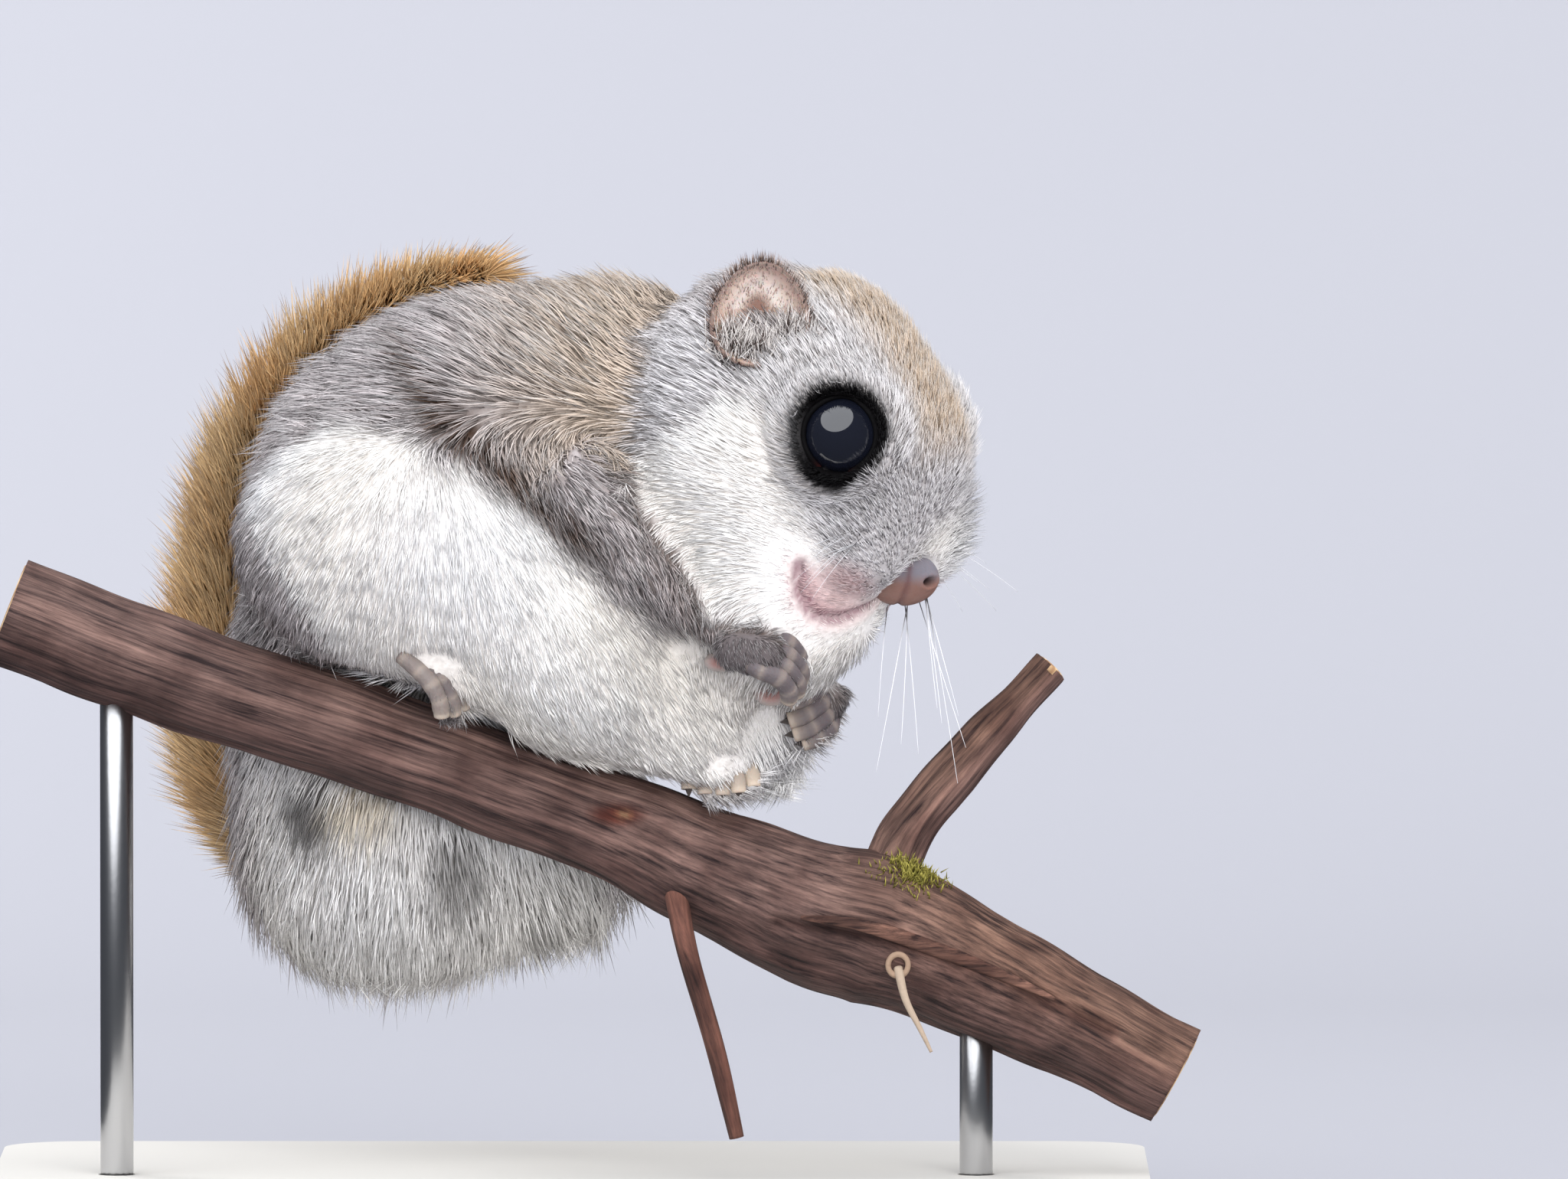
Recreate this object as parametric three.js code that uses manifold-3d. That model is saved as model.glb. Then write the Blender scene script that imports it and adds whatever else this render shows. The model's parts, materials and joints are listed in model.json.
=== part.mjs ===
// A flying squirrel hunched on a short cut length of branch, held by a plain display stand, at life size.
// Lengths are millimetres, +Z is up and the viewer stands on the -Y side, seeing the animal's right flank.
// The origin is the middle of the stand's underside. Each solid's outline is the outline of the coat.
import * as THREE from "three";
import { mergeVertices } from "three/addons/utils/BufferGeometryUtils.js";
import Module from "manifold-3d";

const wasm = await Module();
wasm.setup();

const GAP = 0.3; // room left between two pieces that touch
const deg = (angle) => (angle * Math.PI) / 180;
const v = (x, y, z) => new THREE.Vector3(x, y, z);

// The stand, whose middle is the origin, and the perch's place over it.
const BASE = { length: 140, depth: 84, thick: 8, corner: 10, cornerSteps: 4 };
const PERCH_OVER_BASE = v(5, -12, 0);
const ROD = { radius: 2, sides: 12, at: [-60, 44], inBase: 4, inBranch: 2 };

// The body's proportions: nose to rump about 95 in this hunched pose, tail 110, eyeball 9.8, ear 13.
const TRUNK_YAW = deg(45); // how far the trunk turns its belly towards the viewer
const HEAD = { nose: v(35.5, -12, 80.5), yaw: deg(30), pitch: deg(61), roll: deg(-5) };
const EYE = { back: 17.4, out: 10.2, up: 4.9, radius: 4.9 };
const EAR = { back: 30.2, out: 13.6, up: 1, height: 12.8, width: 12.4, deep: 4, wall: 1.1, steps: 4, sides: 12 };
const EAR_LEAN = { right: 0.62, left: -0.3 }; // how far each ear stands up from lying back along the neck
const TAIL = { halfWidth: 11.5, halfThick: 4.8, sides: 12, rings: 6 };

// A frame with x forward, y to the animal's left and z up, turned by yaw, pitch and roll.
function facing({ yaw, pitch, roll, nose }) {
  const level = v(Math.cos(yaw), -Math.sin(yaw), 0);
  const up = v(0, 0, 1);
  const forward = level.clone().multiplyScalar(Math.cos(pitch)).addScaledVector(up, -Math.sin(pitch));
  const crown = level.clone().multiplyScalar(Math.sin(pitch)).addScaledVector(up, Math.cos(pitch));
  const left = crown.clone().cross(forward);
  const basis = new THREE.Matrix4().makeBasis(forward, left, crown);
  return basis.multiply(new THREE.Matrix4().makeRotationX(roll)).setPosition(nose);
}
const headFrame = facing(HEAD);
const headTurn = new THREE.Quaternion().setFromRotationMatrix(headFrame);
const inHead = (forward, left, up) => v(forward, left, up).applyMatrix4(headFrame);

// A frame at a place, with x along forward and z as near to up as it can be.
function frameAt(place, forward, up) {
  const x = forward.clone().normalize();
  const z = up.clone().addScaledVector(x, -up.dot(x)).normalize();
  return new THREE.Matrix4().makeBasis(x, z.clone().cross(x), z).setPosition(place);
}

// Fields: functions of a point, negative inside, near enough to a distance in millimetres.
function ellipsoid(centre, radii, turn = new THREE.Quaternion()) {
  const back = turn.clone().invert();
  return (point) => {
    const p = point.clone().sub(centre).applyQuaternion(back).divide(radii);
    const reach = p.length();
    return (reach * (reach - 1)) / Math.max(p.divide(radii).length(), 1e-6);
  };
}
function capsule(a, b, radiusA, radiusB) {
  const along = b.clone().sub(a);
  return (point) => {
    const t = THREE.MathUtils.clamp(point.clone().sub(a).dot(along) / along.lengthSq(), 0, 1);
    const nearest = a.clone().addScaledVector(along, t);
    return point.distanceTo(nearest) - THREE.MathUtils.lerp(radiusA, radiusB, t);
  };
}

// Joins fields with a fillet of about the given size.
function blend(fillet, ...fields) {
  const join = (a, b) => {
    const near = Math.max(fillet - Math.abs(a - b), 0) / fillet;
    return Math.min(a, b) - (near * near * fillet) / 4;
  };
  return (point) => fields.map((field) => field(point)).reduce(join);
}

function solidOf(geometry) {
  const bare = geometry.clone();
  bare.deleteAttribute("normal");
  bare.deleteAttribute("uv");
  const merged = mergeVertices(bare, 1e-4);
  const vertProperties = merged.attributes.position.array;
  const triVerts = new Uint32Array(merged.index.array);
  return new wasm.Manifold(new wasm.Mesh({ numProp: 3, vertProperties, triVerts }));
}

// A ball whose vertices move out along their own rays to where the field turns positive, and its room:
// the same solid with every vertex a little further out, which its neighbours leave free.
const SEARCH = { reach: 90, step: 0.6, halvings: 14 };
const ROOM = 1.7 * GAP;
function lump(centre, field, detail) {
  const body = new THREE.IcosahedronGeometry(1, detail);
  const room = body.clone();
  const rays = body.getAttribute("position").clone();
  const reaches = new Map();
  for (let i = 0; i < rays.count; i++) {
    const ray = new THREE.Vector3().fromBufferAttribute(rays, i).normalize();
    const key = ray.toArray().map((x) => Math.round(x * 1e4)).join();
    if (!reaches.has(key)) reaches.set(key, reachAlong(centre, ray, field));
    const out = (far) => centre.clone().addScaledVector(ray, far).toArray();
    body.getAttribute("position").setXYZ(i, ...out(reaches.get(key)));
    room.getAttribute("position").setXYZ(i, ...out(reaches.get(key) + ROOM));
  }
  return { body: solidOf(body), room: solidOf(room) };
}
function reachAlong(centre, ray, field) {
  const valueAt = (t) => field(centre.clone().addScaledVector(ray, t));
  let inside = 0;
  let outside = SEARCH.step;
  while (outside < SEARCH.reach && valueAt(outside) < 0) {
    inside = outside;
    outside += SEARCH.step;
  }
  for (let i = 0; i < SEARCH.halvings; i++) {
    const middle = (inside + outside) / 2;
    if (valueAt(middle) < 0) inside = middle;
    else outside = middle;
  }
  return inside;
}

// Rings along a curve from share t0 to t1, each an ellipse whose wide axis keeps to the side given.
function loft(curve, side, size, { sides, rings, t0 = 0, t1 = 1 }, swell = 0) {
  const points = [];
  const faces = [];
  const ring = (t) => {
    const centre = curve.getPointAt(t);
    const along = curve.getTangentAt(t);
    const wide = side.clone().addScaledVector(along, -side.dot(along)).normalize();
    const thick = along.clone().cross(wide);
    const [a, b] = size(t);
    for (let k = 0; k < sides; k++) {
      const angle = (2 * Math.PI * k) / sides;
      const out = centre.clone().addScaledVector(wide, Math.cos(angle) * (a + swell));
      points.push(out.addScaledVector(thick, Math.sin(angle) * (b + swell)));
    }
  };
  for (let i = 0; i <= rings; i++) ring(THREE.MathUtils.lerp(t0, t1, i / rings));
  const start = points.length;
  const past = (t, way) => curve.getPointAt(t).addScaledVector(curve.getTangentAt(t), way * swell);
  points.push(past(t0, -1), past(t1, 1));
  for (let k = 0; k < sides; k++) {
    const next = (k + 1) % sides;
    for (let i = 0; i < rings; i++) {
      const [a, b] = [i * sides + k, i * sides + next];
      faces.push(a, b, b + sides, a, b + sides, a + sides);
    }
    const last = rings * sides;
    faces.push(start, next, k, start + 1, last + k, last + next);
  }
  return solidOf(new THREE.BufferGeometry().setFromPoints(points).setIndex(faces));
}
function length(curve, side, size, shape) {
  return { body: loft(curve, side, size, shape), room: loft(curve, side, size, shape, 1.5 * GAP) };
}

const cut = (body, ...others) => others.reduce((left, other) => left.subtract(other.room ?? other), body);
const biggest = (body) => body.decompose().reduce((a, b) => (a.volume() > b.volume() ? a : b));

// Parts a body in two by a thin plane cut, and gives the side that the normal points to first.
function halves(body, place, normal) {
  const far = 240;
  const turn = new THREE.Quaternion().setFromUnitVectors(v(0, 0, 1), normal.clone().normalize());
  return [1, -1].map((way) => {
    const middle = v(0, 0, (way * (far + GAP)) / 2).applyQuaternion(turn).add(place);
    const box = new THREE.BoxGeometry(far, far, far).applyQuaternion(turn).translate(...middle);
    return biggest(body.intersect(solidOf(box)));
  });
}

// The perch: a bent branch that swells at a knot, with a broken twig and a thin dead shoot.
const BRANCH = {
  path: [
    [-73, 76.4], [-55, 69.4], [-37, 63.4], [-18, 57], [-1, 50.6], [11, 45.2],
    [24, 39.8], [32, 37.6], [43, 33], [56, 26.4], [68, 19.8],
  ],
  radii: [6.9, 6.6, 6.4, 6.3, 6.7, 7.7, 8.8, 9.3, 8, 6.8, 6.4],
  shape: { sides: 13, rings: 14 },
};
const acrossPerch = v(0, 1, 0);
const branchCurve = new THREE.CatmullRomCurve3(BRANCH.path.map(([x, z]) => v(x, 0, z)));
function branchRadius(t) {
  const place = t * (BRANCH.radii.length - 1);
  const low = Math.min(Math.floor(place), BRANCH.radii.length - 2);
  return THREE.MathUtils.lerp(BRANCH.radii[low], BRANCH.radii[low + 1], place - low);
}
const branch = length(branchCurve, acrossPerch, (t) => [branchRadius(t), branchRadius(t)], BRANCH.shape);

const TWIG = { path: [v(31.5, 1, 38), v(35, 2, 48.5), v(43.5, 4, 59), v(53, 7, 69)], radii: [3.7, 2.3] };
const SHOOT = { path: [v(7, -3, 46), v(9, -7.6, 36), v(12.4, -8.2, 24), v(15, -7.6, 13)], radii: [1.4, 1] };
function stick({ path, radii }, shape) {
  const radius = (t) => THREE.MathUtils.lerp(...radii, t);
  return length(new THREE.CatmullRomCurve3(path), acrossPerch, (t) => [radius(t), radius(t)], shape);
}
const twig = stick(TWIG, { sides: 10, rings: 6 });
const shoot = stick(SHOOT, { sides: 6, rings: 6 });
const perch = [branch, twig, shoot];

// Eyes are balls set deep under the brow, and the nose is a soft pad.
function eye(side) {
  const centre = inHead(-EYE.back, side * EYE.out, EYE.up);
  return lump(centre, ellipsoid(centre, v(EYE.radius, EYE.radius, EYE.radius)), 2);
}
const noseCentre = inHead(0.2, -1.6, 0.6);
const nose = lump(noseCentre, ellipsoid(noseCentre, v(2.8, 4, 3), headTurn), 1);

// An ear is a thin cupped bowl, rounder at its tip, that leans back and opens forwards and out.
function ear(side, lean) {
  const root = inHead(-EAR.back, side * EAR.out, EAR.up);
  const rise = v(-Math.cos(lean), side * 0.2, Math.sin(lean)).normalize().applyQuaternion(headTurn);
  const open = v(0.42, side * 0.86, 0.3).applyQuaternion(headTurn);
  const frame = frameAt(root, rise, open);
  const bowl = (wall) => {
    const profile = [];
    const arc = (deep, rim, share) => {
      const angle = (Math.PI / 2) * share;
      profile.push(new THREE.Vector2(Math.sin(angle) * rim, -Math.cos(angle) * deep));
    };
    for (let i = 0; i <= EAR.steps; i++) arc(EAR.deep + wall, 1 + wall / EAR.width, i / EAR.steps);
    for (let i = EAR.steps; i >= 0; i--) arc(EAR.deep - wall, 1 - wall / EAR.width, i / EAR.steps);
    const shell = new THREE.LatheGeometry(profile, EAR.sides);
    shell.scale(EAR.height / 2, 1, EAR.width / 2).rotateX(Math.PI / 2).translate(EAR.height * 0.4, 0, 0);
    return solidOf(shell.applyMatrix4(frame));
  };
  return { body: bowl(EAR.wall / 2), room: bowl(EAR.wall / 2 + 1.2 * GAP) };
}
const eyes = { right: eye(-1), left: eye(1) };
const ears = { right: ear(-1, EAR_LEAN.right), left: ear(1, EAR_LEAN.left) };
const onHead = [eyes.right, eyes.left, nose, ears.right, ears.left];

// The head in its own frame: skull, muzzle, full whisker pads, brows over both eyes, cheeks and chin.
const onBoth = (make) => [make(-1), make(1)];
const headPart = (place, radii) => ellipsoid(inHead(...place), v(...radii), headTurn);
const headField = blend(
  4,
  headPart([-25, 0, 0.4], [16.6, 15.4, 14]),
  headPart([-12.5, 0, 3], [9.7, 11.2, 11.2]),
  headPart([-7, 0, -0.9], [7, 9.2, 7]),
  ...onBoth((side) => headPart([-5.4, side * 6.6, -1.5], [6.9, 6.6, 6.3])),
  ...onBoth((side) => headPart([-18, side * 3.8, 3.8], [10, 9, 10])),
  ...onBoth((side) => headPart([-14, side * 7.4, -6.4], [9.5, 7.6, 8])),
  headPart([-7.6, 0, -6.8], [5.6, 5, 4.4]),
);
const headLump = lump(inHead(-20, 0, 0), headField, 5);

// The neck: the cheeks' ruff on both sides, the nape and the throat pressed on the chest.
const neckField = blend(
  6,
  ...onBoth((side) => headPart([-21, side * 9.5, -11], [12, 10.5, 12])),
  headPart([-33.2, 0, -4.6], [12, 17, 14.5]),
  ellipsoid(v(19.5, -6.5, 78.5), v(14.5, 14, 15.5)),
);
const neckLump = lump(inHead(-25, 0, -9), neckField, 3);

// The trunk: an arched back, the nape, the rump hanging behind the branch in two lobes, and the chest.
const trunkField = blend(
  8,
  ellipsoid(v(-12, 11, 88), v(33, 25, 28.5)),
  ellipsoid(v(3, 11, 98.5), v(15.5, 17, 18)),
  ellipsoid(v(-22, 22, 66), v(26.5, 20, 26)),
  ellipsoid(v(-26, 22, 46.5), v(21.5, 15, 18)),
  ellipsoid(v(-5, 23, 46), v(10.5, 11, 11.5)),
  ellipsoid(v(13, 5, 78), v(16, 15, 20)),
  ellipsoid(v(16, 5, 60.5), v(9.5, 10, 9.5)),
);
const trunkLump = lump(v(-12, 15, 74), trunkField, 6);

// Hind legs, folded: a haunch, and the gliding membrane slung from it to the wrist, white side out.
const slings = {
  right: lump(
    v(-14, -4, 78),
    blend(
      6,
      ellipsoid(v(-27, -3.5, 85), v(20.5, 16, 17.5)),
      capsule(v(-14, -4.5, 78), v(-4, -4.5, 71.5), 14.5, 13.2),
      capsule(v(-4, -4.5, 71), v(12, -3, 60.5), 12.6, 8.4),
    ),
    4,
  ),
  left: lump(
    v(6, 26, 81),
    blend(6, ellipsoid(v(4, 27, 82), v(18, 15.5, 19)), ellipsoid(v(14, 18, 75), v(9, 11, 14))),
    3,
  ),
};
const SLING_CUTS = { right: [v(-7, 0, 75), v(-0.9, 0, 0.45)], left: [v(13, 22, 78), v(-0.8, 0.5, 0)] };

// A paw: a palm with digits that curl over what they hold, each ending in a claw.
const DIGIT = { sides: 5, rings: 4 };
function paw(frame, { palm, digits, reach, radius, spread, fan, curl, claw }) {
  const at = (x, y, z) => v(x, y, z).applyMatrix4(frame);
  const wide = v(0, 1, 0).transformDirection(frame);
  const palmField = capsule(at(-palm.length, 0, 0), at(0, 0, 0), palm.heel, palm.ball);
  const palmLump = lump(at(-palm.length / 2, 0, 0), palmField, 1);
  const clawStart = 1 - claw;
  const size = (t) => {
    const nail = THREE.MathUtils.mapLinear(t, clawStart, 1, radius * 0.55, radius * 0.14);
    const r = t < clawStart ? radius * (1 - 0.1 * t) : nail;
    return [r, r];
  };
  let { body, room } = palmLump;
  for (let i = 0; i < digits; i++) {
    const share = (2 * i) / (digits - 1) - 1;
    const long = reach * (1 - 0.16 * share * share);
    const route = [0, 0.3, 0.6, 0.85, 1].map((along) => {
      const bend = curl * along;
      const forward = (long * Math.sin(bend)) / curl;
      const down = (long * (1 - Math.cos(bend))) / curl;
      return at(forward * Math.cos(share * fan), share * spread + forward * Math.sin(share * fan), -down);
    });
    const line = new THREE.CatmullRomCurve3([at(-palm.length * 0.3, share * spread * 0.7, 0), ...route]);
    body = body.add(loft(line, wide, size, DIGIT));
    room = room.add(loft(line, wide, size, DIGIT, 1.4 * GAP));
  }
  return { body, room };
}
const FOOT = {
  palm: { length: 9, heel: 2.6, ball: 3 },
  digits: 5, reach: 9.5, radius: 1.3, spread: 2.9, fan: 0.2, curl: 1.4, claw: 0.2,
};
const HAND = {
  palm: { length: 4, heel: 2.8, ball: 3.2 },
  digits: 4, reach: 9, radius: 1.25, spread: 2.6, fan: 0.05, curl: 2.1, claw: 0.18,
};
const feet = {
  right: paw(frameAt(v(-22, -11, 71.2), v(0.8, -0.2, -0.45), v(0.2, -0.6, 0.8)), FOOT),
  left: paw(frameAt(v(12.4, -0.5, 59.6), v(0.15, -1, -0.2), v(0, -0.2, 1)), FOOT),
};
const hands = {
  right: paw(frameAt(v(18.4, -19.5, 72.2), v(1, -0.15, -0.15), v(0.1, -0.75, 0.65)), HAND),
  left: paw(frameAt(v(25.6, 0.5, 65.6), v(0.25, -1, -0.35), v(0.9, 0.25, 0.4)), HAND),
};
const arms = {
  right: lump(v(2, -14, 83), capsule(v(-6, -9.5, 92), v(13.6, -18.6, 74), 8, 3.2), 2),
  left: lump(v(21, 8.5, 76), capsule(v(17, 15, 84), v(25, 3.5, 69), 5.6, 3), 2),
};
const armsAndPaws = [arms.right, arms.left, feet.right, feet.left, hands.right, hands.left];

// The tail: flat and fringed, rising from under the rump and laid up the back, in three lengths.
const tailCurve = new THREE.CatmullRomCurve3([
  v(-33, 34, 43), v(-42, 43, 48), v(-46.5, 46, 62), v(-46, 45, 78),
  v(-42.6, 41, 93), v(-34.5, 33.5, 105.5), v(-23, 24.5, 113.6), v(-11, 15.5, 117),
]);
function tailSize(t) {
  const rootTaper = Math.sqrt(Math.min(1, t / 0.22 + 0.12));
  const tipTaper = Math.sqrt(Math.min(1, (1.03 - t) / 0.3));
  const taper = rootTaper * tipTaper;
  return [TAIL.halfWidth * taper, TAIL.halfThick * (0.4 + 0.6 * taper)];
}
const tailSide = v(-Math.sin(TRUNK_YAW), -Math.cos(TRUNK_YAW), 0);
const slit = GAP / 2 / tailCurve.getLength();
const tail = { tail_base: [0, 0.34 - slit], tail_middle: [0.34 + slit, 0.68 - slit], tail_tip: [0.68 + slit, 1] };
for (const [name, [t0, t1]] of Object.entries(tail))
  tail[name] = length(tailCurve, tailSide, tailSize, { sides: TAIL.sides, rings: TAIL.rings, t0, t1 });
const tailLengths = Object.values(tail);

// The stand: a plate with rounded corners, and two rods let into the branch from below.
function plate() {
  const [x, y, r] = [BASE.length / 2, BASE.depth / 2, BASE.corner];
  const outline = new THREE.Shape();
  outline.moveTo(-x + r, -y);
  outline.absarc(x - r, -y + r, r, -Math.PI / 2, 0);
  outline.absarc(x - r, y - r, r, 0, Math.PI / 2);
  outline.absarc(-x + r, y - r, r, Math.PI / 2, Math.PI);
  outline.absarc(-x + r, -y + r, r, Math.PI, 1.5 * Math.PI);
  const shape = { depth: BASE.thick, bevelEnabled: false, curveSegments: BASE.cornerSteps };
  return solidOf(new THREE.ExtrudeGeometry(outline, shape));
}
function rod(x) {
  const [first, second] = [0, 1].map((end) => branchCurve.getPointAt(end).x);
  const top = branchCurve.getPointAt((x - first) / (second - first)).z - branchRadius(0) + ROD.inBranch;
  const foot = BASE.thick - ROD.inBase;
  const shaft = (wider) => {
    const high = top - foot + 2 * wider;
    const geometry = new THREE.CylinderGeometry(ROD.radius + wider, ROD.radius + wider, high, ROD.sides);
    return solidOf(geometry.rotateX(Math.PI / 2).translate(x, 0, (top + foot) / 2));
  };
  return { body: shaft(0), room: shaft(GAP) };
}
const rods = ROD.at.map(rod);

const COLOURS = {
  back: 0xa39a92, belly: 0xe6e4e2, face: 0xcfc9c4, tail: 0xb99467, paw: 0x5b5450, skin: 0xc79a8c,
  eye: 0x0b0a0c, bark: 0x6f5a50, twig: 0x6b5d50, stand: 0xe9e6e0, rod: 0x9a9a9a,
};
function node(name, body, color, roughness = 0.85, metalness = 0) {
  const made = biggest(body).getMesh();
  const geometry = new THREE.BufferGeometry();
  geometry.setAttribute("position", new THREE.BufferAttribute(made.vertProperties, made.numProp));
  geometry.setIndex(new THREE.BufferAttribute(made.triVerts, 1));
  geometry.computeVertexNormals();
  const mesh = new THREE.Mesh(geometry, new THREE.MeshStandardMaterial({ color, roughness, metalness }));
  mesh.name = name;
  return mesh;
}

const trunk = cut(
  trunkLump.body, headLump, neckLump, slings.right, slings.left, ...armsAndPaws, ...tailLengths, ...perch,
);
const [chest, rump] = halves(trunk, v(-14, 12, 74), v(0.75, -0.2, 0.35));

const onPerch = new THREE.Group();
onPerch.position.copy(PERCH_OVER_BASE);
onPerch.add(
  node("head", cut(headLump.body, ...onHead, ...armsAndPaws), COLOURS.face),
  node("nose", nose.body, COLOURS.skin),
  node("neck", cut(neckLump.body, headLump, ...onHead, ...armsAndPaws, ...perch), COLOURS.belly),
  node("chest", chest, COLOURS.back),
  node("rump", rump, COLOURS.back),
);
for (const side of ["right", "left"]) {
  const sling = cut(slings[side].body, headLump, neckLump, ...armsAndPaws, ...tailLengths, ...perch);
  const clear = side === "left" ? cut(sling, slings.right) : sling;
  const [haunch, membrane] = halves(clear, ...SLING_CUTS[side]);
  onPerch.add(
    node(`eye_${side}`, eyes[side].body, COLOURS.eye, 0.05),
    node(`ear_${side}`, ears[side].body, COLOURS.skin),
    node(`hind_leg_${side}`, haunch, COLOURS.belly),
    node(`membrane_${side}`, membrane, COLOURS.belly),
    node(`hind_foot_${side}`, cut(feet[side].body, branch), COLOURS.paw),
    node(`foreleg_${side}`, cut(arms[side].body, hands[side]), COLOURS.back),
    node(`forefoot_${side}`, hands[side].body, COLOURS.paw),
  );
}
for (const [name, piece] of Object.entries(tail))
  onPerch.add(node(name, cut(piece.body, ...perch), COLOURS.tail));
onPerch.add(
  node("perch_branch", cut(branch.body, ...rods), COLOURS.bark),
  node("perch_twig", cut(twig.body, branch), COLOURS.twig),
  node("perch_shoot", cut(shoot.body, branch), COLOURS.bark),
  node("stand_rod_left", rods[0].body, COLOURS.rod, 0.3, 0.9),
  node("stand_rod_right", rods[1].body, COLOURS.rod, 0.3, 0.9),
);

const sockets = rods.map(({ room }) => room.translate(PERCH_OVER_BASE.toArray()));
const model = new THREE.Group();
model.add(onPerch, node("stand_base", cut(plate(), ...sockets), COLOURS.stand, 0.4));
export default model;
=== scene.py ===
# %% [markdown]
# A flying squirrel crouched on a cut length of branch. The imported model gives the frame: where every
# part of the body, the perch and the stand lies, at its real size. This file gives it its looks.
# %% Load the frame
import json
import math
import bpy
import bmesh
import numpy as np
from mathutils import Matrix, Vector, kdtree
from mathutils.bvhtree import BVHTree

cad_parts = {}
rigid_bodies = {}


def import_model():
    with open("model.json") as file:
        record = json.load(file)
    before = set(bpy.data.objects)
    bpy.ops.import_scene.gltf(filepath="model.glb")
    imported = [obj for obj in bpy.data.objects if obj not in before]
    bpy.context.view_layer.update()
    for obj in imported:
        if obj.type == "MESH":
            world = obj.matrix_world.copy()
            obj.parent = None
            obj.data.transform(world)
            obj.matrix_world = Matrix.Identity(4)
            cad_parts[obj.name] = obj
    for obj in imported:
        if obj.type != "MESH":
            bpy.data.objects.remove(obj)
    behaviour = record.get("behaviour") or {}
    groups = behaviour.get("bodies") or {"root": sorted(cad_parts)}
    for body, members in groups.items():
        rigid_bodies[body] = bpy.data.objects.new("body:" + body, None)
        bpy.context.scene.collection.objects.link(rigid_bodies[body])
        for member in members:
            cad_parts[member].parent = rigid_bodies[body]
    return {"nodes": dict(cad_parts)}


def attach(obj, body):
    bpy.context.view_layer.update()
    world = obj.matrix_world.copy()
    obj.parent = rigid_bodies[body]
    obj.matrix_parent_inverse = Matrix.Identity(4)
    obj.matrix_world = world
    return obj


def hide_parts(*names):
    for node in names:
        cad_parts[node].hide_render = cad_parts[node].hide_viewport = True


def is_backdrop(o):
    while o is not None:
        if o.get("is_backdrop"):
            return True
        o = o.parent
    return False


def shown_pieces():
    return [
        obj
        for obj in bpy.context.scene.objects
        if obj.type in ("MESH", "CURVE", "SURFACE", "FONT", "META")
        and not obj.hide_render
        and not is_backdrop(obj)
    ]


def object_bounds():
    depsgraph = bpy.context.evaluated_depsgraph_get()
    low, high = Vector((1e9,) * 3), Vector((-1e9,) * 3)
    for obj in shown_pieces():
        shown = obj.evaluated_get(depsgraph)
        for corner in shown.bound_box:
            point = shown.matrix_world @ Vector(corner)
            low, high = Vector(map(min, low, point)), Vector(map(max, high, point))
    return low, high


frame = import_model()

CAD_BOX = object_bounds()
NODES = frame["nodes"]
MM = 0.001
PERCH_SHIFT = np.array([5.0, -12.0, 0.0])  # the perch's own frame over the middle of the stand, in mm
rng = np.random.default_rng(20)
print("CAD nodes:", len(NODES))


# %% [markdown]
# Places below are written in millimetres in the perch's own frame, because that is how the animal was
# measured. Two small helpers turn them into the scene's metres and back.
# %% Helpers for places
def metres(points):
    return (np.asarray(points, float) + PERCH_SHIFT) * MM


def perch_mm(points):
    return np.asarray(points, float) / MM - PERCH_SHIFT


def unit(vectors):
    vectors = np.asarray(vectors, float)
    return vectors / np.maximum(np.linalg.norm(vectors, axis=-1, keepdims=True), 1e-9)


def smooth(x, low, high):
    t = np.clip((x - low) / (high - low), 0, 1)
    return t * t * (3 - 2 * t)


def bump(points, centre, radii):
    """One at the centre, nothing past the radii: a soft ellipsoidal spot."""
    reach = np.linalg.norm((points - np.array(centre)) / np.array(radii), axis=-1)
    return 1 - smooth(reach, 0.35, 1.0)


def noise(points, size, seed):
    """Soft value noise between 0 and 1, from sines with turned axes, the same on each run."""
    draw = np.random.default_rng(seed)
    total = np.zeros(len(points))
    for _ in range(6):
        axis = unit(draw.normal(size=3)) * draw.uniform(0.7, 1.5) * 2 * math.pi / size
        total += np.sin(points @ axis + draw.uniform(0, 2 * math.pi))
    return np.clip(0.5 + total / 6.5, 0, 1)


# %% [markdown]
# All finishes are built from a few kinds of node. These helpers add and join them, so that each material
# below can be read as one short list. A value that is the same all over goes on the shader's own socket.
# %% Helpers for materials
def new_material(name, roughness, **sockets):
    """A material with its shader's own sockets set; a socket's spaces are written as underscores."""
    material = bpy.data.materials.new(name)
    material.use_nodes = True
    tree = material.node_tree
    shader = tree.nodes["Principled BSDF"]
    shader.inputs["Roughness"].default_value = roughness
    for socket, value in sockets.items():
        shader.inputs[socket.replace("_", " ")].default_value = value
    return material, tree, shader


def add_node(tree, kind, **settings):
    node = tree.nodes.new(kind)
    for key, value in settings.items():
        if key in node.inputs:
            node.inputs[key].default_value = value
        else:
            setattr(node, key, value)
    return node


def attribute(tree, name, socket="Color"):
    return add_node(tree, "ShaderNodeAttribute", attribute_name=name).outputs[socket]


def grain_of(tree, scale, detail):
    """Fine noise over the object's own coordinates."""
    grain = add_node(tree, "ShaderNodeTexNoise", Scale=scale, Detail=detail)
    place = tree.nodes.new("ShaderNodeTexCoord")
    tree.links.new(place.outputs["Object"], grain.inputs["Vector"])
    return grain.outputs["Fac"]


def ramp_of(tree, factor, dark, light, places=(0.0, 1.0)):
    """A colour ramp from dark to light."""
    ramp = tree.nodes.new("ShaderNodeValToRGB")
    for element, place, colour in zip(ramp.color_ramp.elements, places, (dark, light)):
        element.position = place
        element.color = (*colour, 1)
    tree.links.new(factor, ramp.inputs["Fac"])
    return ramp.outputs["Color"]


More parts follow.
